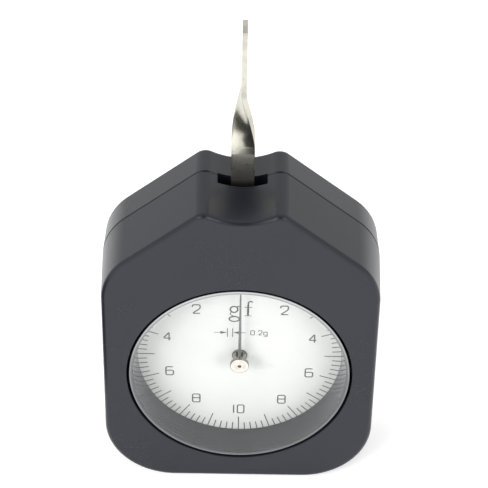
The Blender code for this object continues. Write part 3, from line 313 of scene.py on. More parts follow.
@dataclass(frozen=True)
class AcrylicEdge(Finish):
    """The rim or skirt of the crystal: clear plastic with painted light above and painted shade below, a
    painted highlight on its outer edge and a painted shadow on its side.
    """

    name: str = "crystal_acrylic_rim"
    dark: Colour = (0.060, 0.062, 0.066)
    pale: Colour = (0.22, 0.225, 0.225)
    roughness: float = 0.12
    fade: float = 3.0
    # Heights over which the painted shade below turns into painted light above.
    painted_shade_height: float = -0.024
    painted_light_height: float = 0.024
    # Painted highlight on the rim's outer edge, below and above, and the radius where it starts.
    painted_edge_highlight_below: Colour = (0.11, 0.115, 0.12)
    painted_edge_highlight_above: Colour = (0.33, 0.335, 0.34)
    edge_highlight_radius: float = 0.02400
    # Painted shadow on the crystal's side, beyond this radius.
    side_shadow_radius: float = 0.02433
    painted_side_shadow: Colour = (0.012, 0.012, 0.013)
    gloss: float = 0.5

    def shader(self, graph: Graph) -> Node:
        """Paints light above and shade below by height, and a highlight on the outer edge and a shadow
        on the side by distance from the axis, see Finish.shader.
        """
        place = graph.place(DIAL_CENTRE)
        flow = graph.noise(place, 130.0, 3.0).ramp(0.3, 0.7)
        fine = graph.noise(place, 1800.0)
        across, _, up = graph.axes(place)
        # Painted shade below and painted light above: the colour ramps from dark to pale by height.
        rise = up.ramp(self.painted_shade_height, self.painted_light_height) ** self.fade
        share = rise * 0.9 + flow * 0.07 + fine * 0.03
        radius = across.reach(up)
        # Painted highlight: lighter colours beyond the outer edge radius.
        edge = radius.step(self.edge_highlight_radius, 0.0001)
        dark = graph.blend(edge, self.dark, self.painted_edge_highlight_below)
        face = graph.blend(share, dark, graph.blend(edge, self.pale, self.painted_edge_highlight_above))
        # Painted shadow on the crystal's side.
        colour = graph.blend(radius.step(self.side_shadow_radius, 0.00005), face, self.painted_side_shadow)
        normal = graph.bump(flow, 0.00001, 0.15)
        rough = self.roughness + flow * 0.04
        return graph.surface(colour, rough, Normal=normal, IOR=1.49, Specular_IOR_Level=self.gloss)


@dataclass(frozen=True)
class DialEnamel(Finish):
    """Off-white satin paint of the dial plate."""

    name: str = "dial_enamel_white"
    dark: Colour = (0.525, 0.525, 0.508)
    pale: Colour = (0.560, 0.560, 0.543)

    def shader(self, graph: Graph) -> Node:
        """Cloudy with a fine grain, see Finish.shader."""
        place = graph.place(DIAL_CENTRE)
        cloud = graph.noise(place, 70.0, 3.0).ramp(0.3, 0.7)
        grain = graph.noise(place, 3500.0)
        colour = graph.blend(cloud * 0.7 + grain * 0.3, self.dark, self.pale)
        return graph.surface(colour, grain * 0.08 + 0.42, Normal=graph.bump(grain, 0.000004))


@dataclass(frozen=True)
class Coating(Finish):
    """Ink or lacquer, mottled or streaked."""

    name: str
    dark: Colour
    pale: Colour
    roughness: float
    scale: float
    detail: float
    full: float
    relief: float
    stretch: Point3 = NO_STRETCH

    def shader(self, graph: Graph) -> Node:
        """One noise for colour, gloss and relief, see Finish.shader."""
        place = graph.place(DIAL_CENTRE, self.stretch)
        mottle = graph.noise(place, self.scale, self.detail).ramp(0.3, self.full)
        colour = graph.blend(mottle, self.dark, self.pale)
        normal = graph.bump(mottle, self.relief)
        return graph.surface(colour, mottle * 0.1 + self.roughness, Normal=normal)


@dataclass(frozen=True)
class TurnedMetal(Finish):
    """Bright metal with the fine rings of a lathe tool around the dial's axis."""

    name: str
    dark: Colour
    pale: Colour
    roughness: float
    ring_pitch: float = 0.00016
    # Radii and colours of the painted shade in the middle and of the painted dark reflection outside.
    painted_shade_radius: float = -0.001
    painted_reflection_radius: float = 0.1
    shade: Colour = (0.13, 0.11, 0.09)
    painted_dark_reflection: Colour = (0.30, 0.275, 0.24)

    def shader(self, graph: Graph) -> Node:
        """Rings and stains, with painted shade in the middle and a painted dark reflection outside, see
        Finish.shader.
        """
        place = graph.place(DIAL_CENTRE)
        across, _, up = graph.axes(place)
        radius = across.reach(up)
        wave = radius * (math.tau / self.ring_pitch) + graph.noise(place, 900.0) * 3.0
        rings = wave.sine() * 0.5 + 0.5
        stain = graph.noise(place, 700.0, 3.0).ramp(0.35, 0.75)
        colour = graph.blend(stain * 0.7 + rings * 0.3, self.pale, self.dark)
        # Painted shade in the middle, as in the cap's dimple.
        colour = graph.blend(radius.step(self.painted_shade_radius), self.shade, colour)
        # Painted dark reflection on the outer edge and side.
        colour = graph.blend(radius.step(self.painted_reflection_radius), colour, self.painted_dark_reflection)
        normal = graph.bump(rings, 0.000004, 0.35)
        rough = self.roughness + rings * 0.05 + stain * 0.08
        return graph.surface(colour, rough, Normal=normal, Metallic=1.0)


@dataclass(frozen=True)
class StampedMetal(Finish):
    """Sheet or bar metal with a grain along one axis and small stains."""

    name: str
    dark: Colour
    pale: Colour
    roughness: float
    stretch: Point3 = (1.0, 1.0, 0.08)

    def shader(self, graph: Graph) -> Node:
        """Lines, stains and specks, see Finish.shader."""
        lines = graph.noise(graph.place(scale=self.stretch), 2400.0, 3.0, 0.6)
        place = graph.place()
        stain = graph.noise(place, 260.0, 4.0).ramp(0.4, 0.75)
        specks = 1 - graph.cells(place, 1100.0).ramp(0.04, 0.16)
        colour = graph.blend(stain * 0.6 + specks * 0.3 + lines * 0.2, self.pale, self.dark)
        normal = graph.bump(lines * 0.8 - specks * 0.2, 0.000006)
        rough = self.roughness + lines * 0.12 + stain * 0.1
        return graph.surface(colour, rough, Normal=normal, Metallic=1.0)


@dataclass(frozen=True)
class GroundSteel(Finish):
    """Ground steel of the lever, with a band of crossed tool marks above the case."""

    name: str = "polished_steel_ground"
    pale: Colour = (0.52, 0.505, 0.44)
    dark: Colour = (0.26, 0.25, 0.22)
    speck: Colour = (0.20, 0.18, 0.16)
    marks_low: float = 0.0755
    marks_high: float = 0.0832
    marks_blur: float = 0.0007
    marks_pitch: float = 0.00070
    stretch: Point3 = (1.0, 1.0, 0.05)

    def shader(self, graph: Graph) -> Node:
        """Grinding lines, stains, specks and tool marks, see Finish.shader."""
        place = graph.place()
        across, _, up = graph.axes(place)
        lines = graph.noise(graph.place(scale=self.stretch), 3200.0, 3.0, 0.6)
        stain = graph.noise(place, 320.0, 4.0).ramp(0.42, 0.72)
        specks = graph.noise(place, 2600.0, 2.0, 0.7).ramp(0.60, 0.72)
        wobble = graph.noise(place, 500.0) * 2.5
        turn = math.tau / self.marks_pitch
        rising = ((across + up * 0.8) * turn + wobble).sine().ramp(0.35, 0.9)
        falling = ((across - up * 0.9) * turn - wobble).sine().ramp(0.35, 0.9)
        band = up.within(self.marks_low, self.marks_high, self.marks_blur)
        marks = (rising + falling) * 0.5 * band
        base = graph.blend(stain * 0.5 + marks * 0.7, self.pale, self.dark)
        colour = graph.blend(specks * 0.55, base, self.speck)
        low = 1 - up.ramp(self.marks_low, self.marks_high)
        normal = graph.bump(lines * 0.2 - marks - specks * 0.1, 0.00004, 0.35)
        rough = lines * 0.06 + stain * 0.06 + low * 0.10 + 0.17
        return graph.surface(colour, rough, Normal=normal, Metallic=1.0)


@dataclass(frozen=True)
class StudioPaper(Finish):
    """Plain pale floor, lit from below."""

    name: str = "studio_paper"
    colour: Colour = (0.93, 0.93, 0.93)
    fibre_shade: float = 0.99
    glow: float = 0.25

    def shader(self, graph: Graph) -> Node:
        """Fibres and a glow, see Finish.shader."""
        shaded = tuple(part * self.fibre_shade for part in self.colour)
        colour = graph.blend(graph.noise(graph.place(), 900.0), self.colour, shaded)
        return graph.surface(colour, 0.9, Emission_Color=self.colour, Emission_Strength=self.glow)


@dataclass(frozen=True)
class DarkFelt(Finish):
    """Matte black card that thins out towards one side."""

    name: str = "studio_felt"
    colour: Colour = (0.034, 0.036, 0.031)
    full_way: Point = (-0.643, 0.766)
    thin: float = -0.21
    full: float = 0.21

    def shader(self, graph: Graph) -> Node:
        """Clear in one direction from the gauge, see Finish.shader."""
        place = graph.place()
        fibre = graph.noise(place, 700.0)
        across, along, _ = graph.axes(place)
        way = across * self.full_way[0] + along * self.full_way[1]
        share = (way / across.reach(along)).ramp(self.thin, self.full)
        return graph.surface(self.colour, fibre * 0.1 + 0.85, Alpha=share)


# Rim and skirt: painted shade below and painted light above, by height.
RIM = AcrylicEdge()
SKIRT = AcrylicEdge(
    "crystal_acrylic_skirt", (0.023, 0.026, 0.030), (0.125, 0.135, 0.145), roughness=0.04, fade=1.0
)
INK = Coating(
    "dial_print_ink", (0.035, 0.039, 0.043), (0.070, 0.076, 0.082), roughness=0.5,
    scale=2200.0, detail=3.0, full=0.75, relief=0.000003,
)
LACQUER = Coating(
    "pointer_lacquer_grey", (0.085, 0.087, 0.092), (0.13, 0.133, 0.138), roughness=0.32,
    scale=2500.0, detail=2.0, full=0.7, relief=0.000004, stretch=(1.0, 1.0, 0.15),
)
# The cap: painted shade in its dimple, and a painted dark reflection on its outer edge and side.
CAP_NICKEL = TurnedMetal(
    "hub_cap_nickel", (0.60, 0.54, 0.49), (0.78, 0.73, 0.68), 0.14,
    painted_shade_radius=0.00039, painted_reflection_radius=0.00197,
)
# The collar: a darker copy of the bright nickel as painted shade, with a painted dark reflection on its
# outer edge.
COLLAR_SHADED_NICKEL = TurnedMetal(
    "collar_nickel_painted_shade", (0.21, 0.20, 0.18), (0.29, 0.28, 0.25), 0.2,
    painted_reflection_radius=0.00150, painted_dark_reflection=(0.13, 0.125, 0.10),
)
# The neck: a darker copy of the bright nickel as painted shade, and rougher.
NECK_PAINTED_SHADE = TurnedMetal("hub_neck_rough_painted_shade", (0.10, 0.095, 0.08), (0.18, 0.17, 0.14), 0.5)
SLOT_FINISHES = {
    "case_plastic": CasePlastic(),
    "crystal_acrylic": ClearPane(),
    "dial_enamel": DialEnamel(),
    "pointer_lacquer": LACQUER,
    "bright_nickel": TurnedMetal(
        "bright_nickel_turned", (0.62, 0.55, 0.49), (0.80, 0.75, 0.69), 0.14
    ),
    "polished_steel": GroundSteel(),
    "brass": StampedMetal("brass_stamped", (0.48, 0.33, 0.13), (0.76, 0.56, 0.27), 0.34),
    "spring_steel": StampedMetal(
        "spring_steel_blued", (0.05, 0.07, 0.15), (0.12, 0.17, 0.33), 0.26
    ),
    "screw_zinc": StampedMetal(
        "screw_zinc_plated", (0.36, 0.36, 0.35), (0.62, 0.62, 0.63), 0.30, NO_STRETCH
    ),
}


@lru_cache(maxsize=None)
def material_of(finish: Finish) -> Material:
    """The material of a finish, made once."""
    return finish.material()


# Making a piece


class Body(Enum):
    """The moving groups of the part."""

    CASE = "case"
    LEVER = "lever"
    POINTER = "pointer"


def added(parts: Iterable, known: set) -> list:
    """The parts of a mesh that weren't known before."""
    return [part for part in parts if part not in known]


def first_of(parts: Iterable, kind: type) -> Vert | Face:
    """The first part of a mesh that is of one kind."""
    return next(part for part in parts if isinstance(part, kind))


def bevel(shape: Shape, parts: Iterable, offset: float, segments: int, affect: str = "EDGES") -> None:
    """Rounds edges or, where affect is VERTICES, corners of a mesh."""
    bmesh.ops.bevel(
        shape, geom=list(parts), offset=offset, segments=segments, profile=0.5, affect=affect,
        clamp_overlap=True, material=-1,
    )


def show(name: str, data: bpy.types.ID) -> Piece:
    """Adds an object to the scene.

    Args:
        name: Its name.
        data: The mesh, curve, light or camera that it shows.

    Returns:
        The object.
    """
    thing = bpy.data.objects.new(name, data)
    bpy.context.scene.collection.objects.link(thing)
    return thing


def final_mesh(thing: Piece) -> bpy.types.Mesh:
    """Makes a mesh of an object as its modifiers or its curve shape it.

    Args:
        thing: The object.

    Returns:
        The new mesh.
    """
    bpy.context.view_layer.update()
    graph = bpy.context.evaluated_depsgraph_get()
    return bpy.data.meshes.new_from_object(thing.evaluated_get(graph))


class Pen:
    """Draws edges across a plane of constant depth."""

    def __init__(self, shape: Shape, depth: float, x: float, z: float) -> None:
        """Sets the pen down.

        Args:
            shape: The mesh to draw in.
            depth: The plane's depth behind the front face.
            x: The first point's x.
            z: The first point's z.
        """
        self.shape = shape
        self.y = y_at(depth)
        self.tip = bmesh.ops.create_vert(shape, co=(x, self.y, z))["vert"][0]

    def line(self, x: float, z: float) -> None:
        """Draws a straight edge to a point."""
        self.tip = bmesh.ops.extrude_vert_indiv(self.shape, verts=[self.tip])["verts"][0]
        way = Vector((x, self.y, z)) - self.tip.co
        bmesh.ops.translate(self.shape, verts=[self.tip], vec=way)

    def arc(self, centre: Point, degrees: float, steps: int) -> list[Vert]:
        """Draws an arc around a centre, leftwards as seen from the front.

        Args:
            centre: The arc's centre, x and z.
            degrees: How far it turns.
            steps: Its number of edges.

        Returns:
            The arc's new vertices.
        """
        known = set(self.shape.verts)
        spun = bmesh.ops.spin(
            self.shape, geom=[self.tip], cent=(centre[0], self.y, centre[1]), axis=(0.0, -1.0, 0.0),
            angle=math.radians(degrees), steps=steps,
        )
        self.tip = first_of(spun["geom_last"], Vert)
        return added(self.shape.verts, known)


@dataclass
class Workpiece:
    """A mesh that operators shape and that then becomes one piece."""

    name: str
    shape: Shape = field(default_factory=bmesh.new)

    def ring(
        self, depth: float, radius: float, centre: Point = DIAL_AXIS, segments: int = ROUND_STEPS
    ) -> Edges:
        """A circle around an axis along Y.

        Args:
            depth: Its depth behind the front face.
            radius: Its radius.
            centre: Its axis, x and z.
            segments: Its number of edges.

        Returns:
            Its edges.
        """
        matrix = Matrix.Translation((centre[0], y_at(depth), centre[1])) @ UPRIGHT
        known = set(self.shape.edges)
        bmesh.ops.create_circle(self.shape, radius=radius, segments=segments, matrix=matrix)
        return added(self.shape.edges, known)

    def join(self, *loops: Edges) -> None:
        """Joins each loop to the next, by a flat web where both lie at one depth.

        Args:
            loops: Closed loops of edges.
        """
        for inner, outer in zip(loops, loops[1:]):
            edges = [*inner, *outer]
            if abs(inner[0].verts[0].co.y - outer[0].verts[0].co.y) < SAME:
                bmesh.ops.triangle_fill(
                    self.shape, edges=edges, use_beauty=True, normal=(0.0, -1.0, 0.0)
                )
            else:
                bmesh.ops.bridge_loops(self.shape, edges=edges)

    def cap(self, loop: Edges) -> Face:
        """Fills a loop of edges with one face."""
        return bmesh.ops.contextual_create(self.shape, geom=loop)["faces"][0]

    def tube(self, centre: Point, outer: float, inner: float, front: float, back: float) -> None:
        """A round boss of an outer and an inner radius, from one depth to another."""
        stations = [(front, outer), (back, outer), (back, inner), (front, inner)]
        loops = [self.ring(depth, radius, centre, TUBE_STEPS) for depth, radius in stations]
        self.join(*loops, loops[0])

    def turn(
        self, profile: Profile, steps: int = ROUND_STEPS, centre: Point = DIAL_AXIS
    ) -> Workpiece:
        """Turns a closed profile around an axis along Y.

        Args:
            profile: Corners as depth and radius, and rounding where a corner has one.
            steps: Facets around the axis.
            centre: The axis, x and z.

        Returns:
            This workpiece.
        """
        side = bmesh.new()
        corners = [
            bmesh.ops.create_vert(side, co=(radius, y_at(depth), 0.0))["vert"][0]
            for depth, radius, *_ in profile
        ]
        loop = [
            bmesh.ops.contextual_create(side, geom=list(pair))["edges"][0]
            for pair in zip(corners, corners[1:] + corners[:1])
        ]
        bmesh.ops.contextual_create(side, geom=loop)
        for corner, (_, _, *rounding) in zip(corners, profile):
            if rounding:
                bevel(side, [corner], rounding[0], 4, "VERTICES")
        bmesh.ops.delete(side, geom=list(side.faces), context="FACES_ONLY")
        on_axis = [edge for edge in side.edges if all(abs(vert.co.x) < SAME for vert in edge.verts)]
        bmesh.ops.delete(side, geom=on_axis, context="EDGES")
        bmesh.ops.spin(
            side, geom=[*side.verts, *side.edges], cent=(0.0, 0.0, 0.0), axis=(0.0, 1.0, 0.0),
            angle=math.tau, steps=steps, use_merge=True,
        )
        bmesh.ops.remove_doubles(side, verts=side.verts, dist=SAME)
        bmesh.ops.translate(side, verts=side.verts, vec=(centre[0], 0.0, centre[1]))
        bmesh.ops.recalc_face_normals(side, faces=side.faces)
        spare = bpy.data.meshes.new("turned")
        side.to_mesh(spare)
        side.free()
        self.shape.from_mesh(spare)
        bpy.data.meshes.remove(spare)
        return self

    def block(self, low: Point3, high: Point3) -> None:
        """A box.

        Args:
            low: Its lowest corner.
            high: Its highest corner.
        """
        size = Vector(high) - Vector(low)
        matrix = Matrix.Translation((Vector(low) + Vector(high)) / 2) @ Matrix.Diagonal((*size, 1.0))
        bmesh.ops.create_cube(self.shape, size=1.0, matrix=matrix)

    def place(self, finish: Finish | None = None, sharp: float = SHARP) -> Piece:
        """Shows the mesh as an object.

        Args:
            finish: Its finish, or None for a cutter.
            sharp: The angle from which an edge stays sharp, in degrees.

        Returns:
            The object.
        """
        bmesh.ops.recalc_face_normals(self.shape, faces=self.shape.faces)
        mesh = bpy.data.meshes.new(self.name)
        self.shape.to_mesh(mesh)
        self.shape.free()
        mesh.shade_smooth()
        mesh.set_sharp_from_angle(angle=math.radians(sharp))
        if finish:
            mesh.materials.append(material_of(finish))
        return show(self.name, mesh)


def settle(piece: Piece) -> None:
    """Turns modifiers into the mesh.

    Args:
        piece: The piece that has them.
    """
    old = piece.data
    mesh = final_mesh(piece)
    piece.modifiers.clear()
    piece.data = mesh
    mesh.name = piece.name
    bpy.data.meshes.remove(old)


def cut(piece: Piece, cutter: Piece) -> None:
    """Cuts a piece with another, which is then removed.

    Args:
        piece: The piece to cut.
        cutter: The form to take away.
    """
    modifier = piece.modifiers.new("cut", "BOOLEAN")
    modifier.operation = "DIFFERENCE"
    modifier.solver = "EXACT"
    modifier.object = cutter
    settle(piece)
    mesh = cutter.data
    bpy.data.objects.remove(cutter)
    bpy.data.meshes.remove(mesh)
    piece.data.shade_smooth()
    piece.data.set_sharp_from_angle(angle=math.radians(SHARP))


def even_shading(piece: Piece) -> None:
    """Lets the larger faces lead the shading, so that flat faces look flat."""
    piece.modifiers.new("even_shading", "WEIGHTED_NORMAL").keep_sharp = True
    settle(piece)


def install(piece: Piece, body: Body, slot: str, *nodes: str) -> None:
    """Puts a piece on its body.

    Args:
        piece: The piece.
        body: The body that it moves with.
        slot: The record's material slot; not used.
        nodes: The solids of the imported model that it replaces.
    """
    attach(piece, body.value)
    if nodes:
        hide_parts(*nodes)
    LOG.info("%s: %d faces on %s", piece.name, len(piece.data.polygons), body.value)


# Case


@dataclass
class CaseOutline:
    """The case seen from the front: flat bottom, four round corners and a notched peak."""

    half_width: float = 0.0300
    bottom_corner: float = 0.0155
    shoulder_degrees: float = 39.0
    apex: float = 0.0832
    shoulder_corner: float = 0.0135
    notch_half_width: float = 0.0083
    notch_sag: float = 0.00245
    peak_radius: float = 0.0028
    corner_steps: int = 24
    peak_steps: int = 12

    def trace(self, shape: Shape, depth: float, spread: float = 0.0, floor: float = 0.0) -> Edges:
        """Draws the outline as a closed loop.

        Args:
            shape: The mesh to draw in.
            depth: The loop's depth behind the front face.
            spread: How far sides, shoulders and notch are moved out.
            floor: The height of the flat bottom.

        Returns:
            The loop's edges.
        """
        slope = math.radians(self.shoulder_degrees)
        reach = self.apex * math.cos(slope)
        outward = Vector((math.sin(slope), math.cos(slope)))
        across = Vector((-math.cos(slope), math.sin(slope)))
        corner_x = self.half_width - self.shoulder_corner
        corner_z = (reach - self.shoulder_corner - corner_x * math.sin(slope)) / math.cos(slope)
        notch_radius = (self.notch_half_width**2 + self.notch_sag**2) / (2 * self.notch_sag)
        peak_height = self.apex - self.notch_half_width * math.tan(slope)
        notch_z = peak_height - self.notch_sag + notch_radius
        from_notch = outward * (reach - self.peak_radius) - Vector((0.0, notch_z))
        along = from_notch.dot(across)
        apart = from_notch.length_squared - (notch_radius + self.peak_radius) ** 2
        peak = outward * (reach - self.peak_radius) - across * (along + math.sqrt(along**2 - apart))
        towards_notch = math.degrees(math.atan2(notch_z - peak.y, -peak.x))
        lean = 90.0 - self.shoulder_degrees

        known_verts, known_edges = set(shape.verts), set(shape.edges)
        pen = Pen(shape, depth, 0.0, floor)
        bottom_x = self.half_width - self.bottom_corner
        rise = self.bottom_corner - floor
        pen.line(bottom_x, floor)
        quarter = pen.arc((bottom_x, self.bottom_corner), 90.0, self.corner_steps)
        bmesh.ops.scale(
            shape, vec=((self.bottom_corner + spread) / rise, 1.0, 1.0), verts=quarter,
            space=Matrix.Translation((-bottom_x, 0.0, 0.0)),
        )
        pen.line(self.half_width + spread, corner_z)
        pen.arc((corner_x, corner_z), lean, self.corner_steps)
        start = peak + outward * (self.peak_radius + spread)
        pen.line(start.x, start.y)
        pen.arc(tuple(peak), towards_notch - lean, self.peak_steps)
        pen.arc((0.0, notch_z), 90.0 - towards_notch, self.peak_steps)
        pen.tip.co.x = 0.0
        half = added(shape.verts, known_verts) + added(shape.edges, known_edges)
        bmesh.ops.mirror(shape, geom=half, matrix=Matrix.Identity(4), merge_dist=SAME, axis="X")
        return added(shape.edges, known_edges)


@dataclass
class Case:
    """Front case with the dial well, and the rear cover with its screw seats."""

    outline: CaseOutline = field(default_factory=CaseOutline)
    finish: CasePlastic = CasePlastic()
    wall: float = 0.0020
    parting: float = 0.0150
    parting_gap: float = 0.00015
    parting_lip: float = 0.00022
    spread: float = 0.0005
    rear_spread: float = 0.0002
    front_edge: float = 0.0011
    rear_edge: float = 0.0015
    edge_steps: int = 8
    opening: float = 0.02494
    opening_edge: float = 0.00022
    opening_steps: int = 4
    ledge_front: float = 0.0079
    ledge_back: float = 0.0099
    ledge_radius: float = 0.0228
    well_radius: float = 0.0270
    rear_floor: float = 0.0220
    screw_places: tuple[Point, ...] = ((0.02049, 0.05998), (0.02139, 0.00758))
    boss_radius: float = 0.0026
    boss_overlap: float = 0.0001
    screw_hole: float = 0.00110
    seat_radius: float = 0.0022
    seat_depth: float = 0.0013
    seat_edge: float = 0.00015
    cutter_spare: float = 0.0010
    slot_half_width: float = 0.00536
    slot_front: float = 0.0122
    slot_back: float = 0.0156
    slot_floor: float = 0.0710
    slot_edge: float = 0.00015

    def build(self) -> None:
        """Builds both halves."""
        self.build_front()
        self.build_cover()

    def screws(self) -> list[Point]:
        """The axes of the cover's screws."""
        return [(side * x, z) for x, z in self.screw_places for side in (-1, 1)]

    def shell(
        self, work: Workpiece, outer: float, outer_spread: float, joint: float, floor: float
    ) -> tuple[Edges, Edges]:
        """Outer wall with a rounded rim, the lip at the joint and the inner wall.

        Args:
            work: The piece to build in.
            outer: Depth of the closed face.
            outer_spread: The outline's spread there.
            joint: Depth of the joint face.
            floor: Depth of the inner floor.

        Returns:
            The edges of the closed face, and those of the inner floor.
        """
        inward = 1 if outer < joint else -1
        lip = self.parting_lip
        rim, *others = [
            self.outline.trace(work.shape, *station)
            for station in (
                (outer, outer_spread),
                (joint - inward * lip, self.spread),
                (joint, self.spread - lip, lip),
                (joint, -self.wall, self.wall),
                (floor, -self.wall, self.wall),
            )
        ]
        face = work.cap(rim)
        work.join(rim, *others)
        edge = self.front_edge if inward > 0 else self.rear_edge
        bevel(work.shape, face.edges, edge, self.edge_steps)
        closed = max(
            (face for face in work.shape.faces if abs(face.calc_center_median().y - y_at(outer)) < SAME),
            key=lambda face: face.calc_area(),
        )
        loop = list(closed.edges)
        if inward > 0:
            bmesh.ops.delete(work.shape, geom=[closed], context="FACES_ONLY")
        return loop, others[-1]

    def cut_slot(self, piece: Piece) -> None:
        """Cuts the lever's slot into one half.

        Args:
            piece: The half.
        """
        work = Workpiece("slot_cutter")
        low = (-self.slot_half_width, y_at(self.slot_front), self.slot_floor)
        work.block(low, (self.slot_half_width, y_at(self.slot_back), self.outline.apex))
        bevel(work.shape, work.shape.edges, self.slot_edge, 3)
        cut(piece, work.place())

    def build_front(self) -> None:
        """The front case: face, dial well, ledge, hollow and slot."""
        work = Workpiece("front_case_moulding")
        joint = self.parting - self.parting_gap / 2
        face, ceiling = self.shell(work, 0.0, 0.0, joint, self.wall)
        quarter = [math.pi / 2 * step / self.opening_steps for step in range(self.opening_steps + 1)]
        edge = self.opening_edge
        stations = [
            (edge * (1 - math.cos(turn)), self.opening + edge * (1 - math.sin(turn))) for turn in quarter
        ]
        stations += [
            (self.ledge_front, self.opening),
            (self.ledge_front, self.ledge_radius),
            (self.ledge_back, self.ledge_radius),
            (self.ledge_back, self.well_radius),
            (self.wall, self.well_radius),
        ]
        work.join(face, *(work.ring(*station) for station in stations), ceiling)
        for place in self.screws():
            work.tube(place, self.boss_radius, self.screw_hole, self.wall - self.boss_overlap, joint)
        piece = work.place(self.finish)
        self.cut_slot(piece)
        even_shading(piece)
        install(piece, Body.CASE, "case_plastic", "front_case")

    def build_cover(self) -> None:
        """The rear cover: hollow shell with screw seats, and the posts in it."""
        work = Workpiece("rear_cover_moulding")
        joint = self.parting + self.parting_gap / 2
        _, ceiling = self.shell(work, CASE_DEPTH, self.rear_spread, joint, self.rear_floor)
        work.cap(ceiling)
        piece = work.place(self.finish)
        self.cut_slot(piece)
        start, seat = joint + self.cutter_spare, CASE_DEPTH - self.seat_depth
        edge = CASE_DEPTH - self.seat_edge
        profile = [
            (start, 0.0),
            (start, self.screw_hole),
            (seat, self.screw_hole),
            (seat, self.seat_radius),
            (edge, self.seat_radius),
            (edge + self.cutter_spare, self.seat_radius + self.cutter_spare),
            (edge + self.cutter_spare, 0.0),
        ]
        posts = Workpiece("cover_posts")
        back = self.rear_floor + self.boss_overlap
        for place in self.screws():
            posts.tube(place, self.boss_radius, self.screw_hole, joint, back)
            cut(piece, Workpiece("seat_cutter").turn(profile, 48, place).place())
        even_shading(piece)
        install(piece, Body.CASE, "case_plastic", "rear_cover")
        install(posts.place(self.finish), Body.CASE, "case_plastic")


# Dial and crystal


@dataclass
class Crystal:
    """The clear cup over the dial: pane, bright rim and skirt."""

    front: float = 0.00015
    thickness: float = 0.0010
    back: float = 0.0071
    outer: float = 0.0244
    inner: float = 0.0236
    inner_at_dial: float = 0.0227
    rim_edge: float = 0.00010
    rim_outer_edge: float = 0.00018
    skirt_gap: float = 0.00002
    skirt_lap: float = 0.00001
    skirt_edge: float = 0.0002
    pane_grip: float = 0.0003
    pane_inset: float = 0.0002
    pane_thickness: float = 0.0003

    def build(self) -> None:
        """Builds the three pieces."""
        rear = self.front + self.thickness
        side = self.inner + self.pane_grip
        front = self.front + self.pane_inset
        back = front + self.pane_thickness
        top = rear + self.skirt_gap
        pane = [(front, 0.0), (front, side), (back, side), (back, 0.0)]
        rim = [
            (self.front, self.inner, self.rim_edge),
            (self.front, self.outer, self.rim_outer_edge),
            (rear, self.outer),
            (rear, self.inner),
        ]
        skirt = [
            (top, self.inner - self.skirt_lap),
            (top, self.outer),
            (self.back, self.outer),
            (self.back, self.inner_at_dial, self.skirt_edge),
        ]
        for name, finish, profile in (
            ("crystal_pane", ClearPane(), pane),
            ("crystal_rim", RIM, rim),
            ("crystal_skirt", SKIRT, skirt),
        ):
            install(Workpiece(name).turn(profile).place(finish), Body.CASE, "crystal_acrylic", "crystal")


class Glyph(Enum):
    """The strokes of the plain square numerals, in a box one wide and one high."""

    ZERO = (((0.5, 0.0), (1.0, 0.0), (1.0, 1.0), (0.0, 1.0), (0.0, 0.0), (0.5, 0.0)),)
    ONE = (((0.5, 0.0), (0.5, 1.0)),)
    TWO = (((0.0, 0.74), (0.0, 1.0), (1.0, 1.0), (1.0, 0.56), (0.0, 0.0), (1.0, 0.0)),)
    FOUR = (((0.76, 0.0), (0.76, 1.0), (0.0, 0.27), (1.0, 0.27)),)
    SIX = (((0.95, 1.0), (0.0, 1.0), (0.0, 0.0), (1.0, 0.0), (1.0, 0.57), (0.0, 0.57)),)
    EIGHT = (*ZERO, ((0.0, 0.53), (1.0, 0.53)))
    POINT = (((0.42, 0.0), (0.58, 0.0)),)
    SMALL_G = (
        ((1.0, 0.70), (0.0, 0.70), (0.0, 0.0), (1.0, 0.0)),
        ((1.0, 0.78), (1.0, -0.36), (0.05, -0.36)),
    )

    def strokes(self, centre: Point, size: Point, width: float) -> list[Stroke]:
        """The glyph around a centre.

        Args:
            centre: Its middle, x and z.
            size: How wide and how high it is, between the strokes' middles.
            width: The strokes' width.

        Returns:
            Its strokes.
        """
        return [
            Stroke(
                width,
                tuple(
                    (centre[0] + (x - 0.5) * size[0], centre[1] + (z - 0.5) * size[1]) for x, z in points
                ),
                rounding=GLYPH_ROUNDING * size[0],
            )
            for points in self.value
        ]


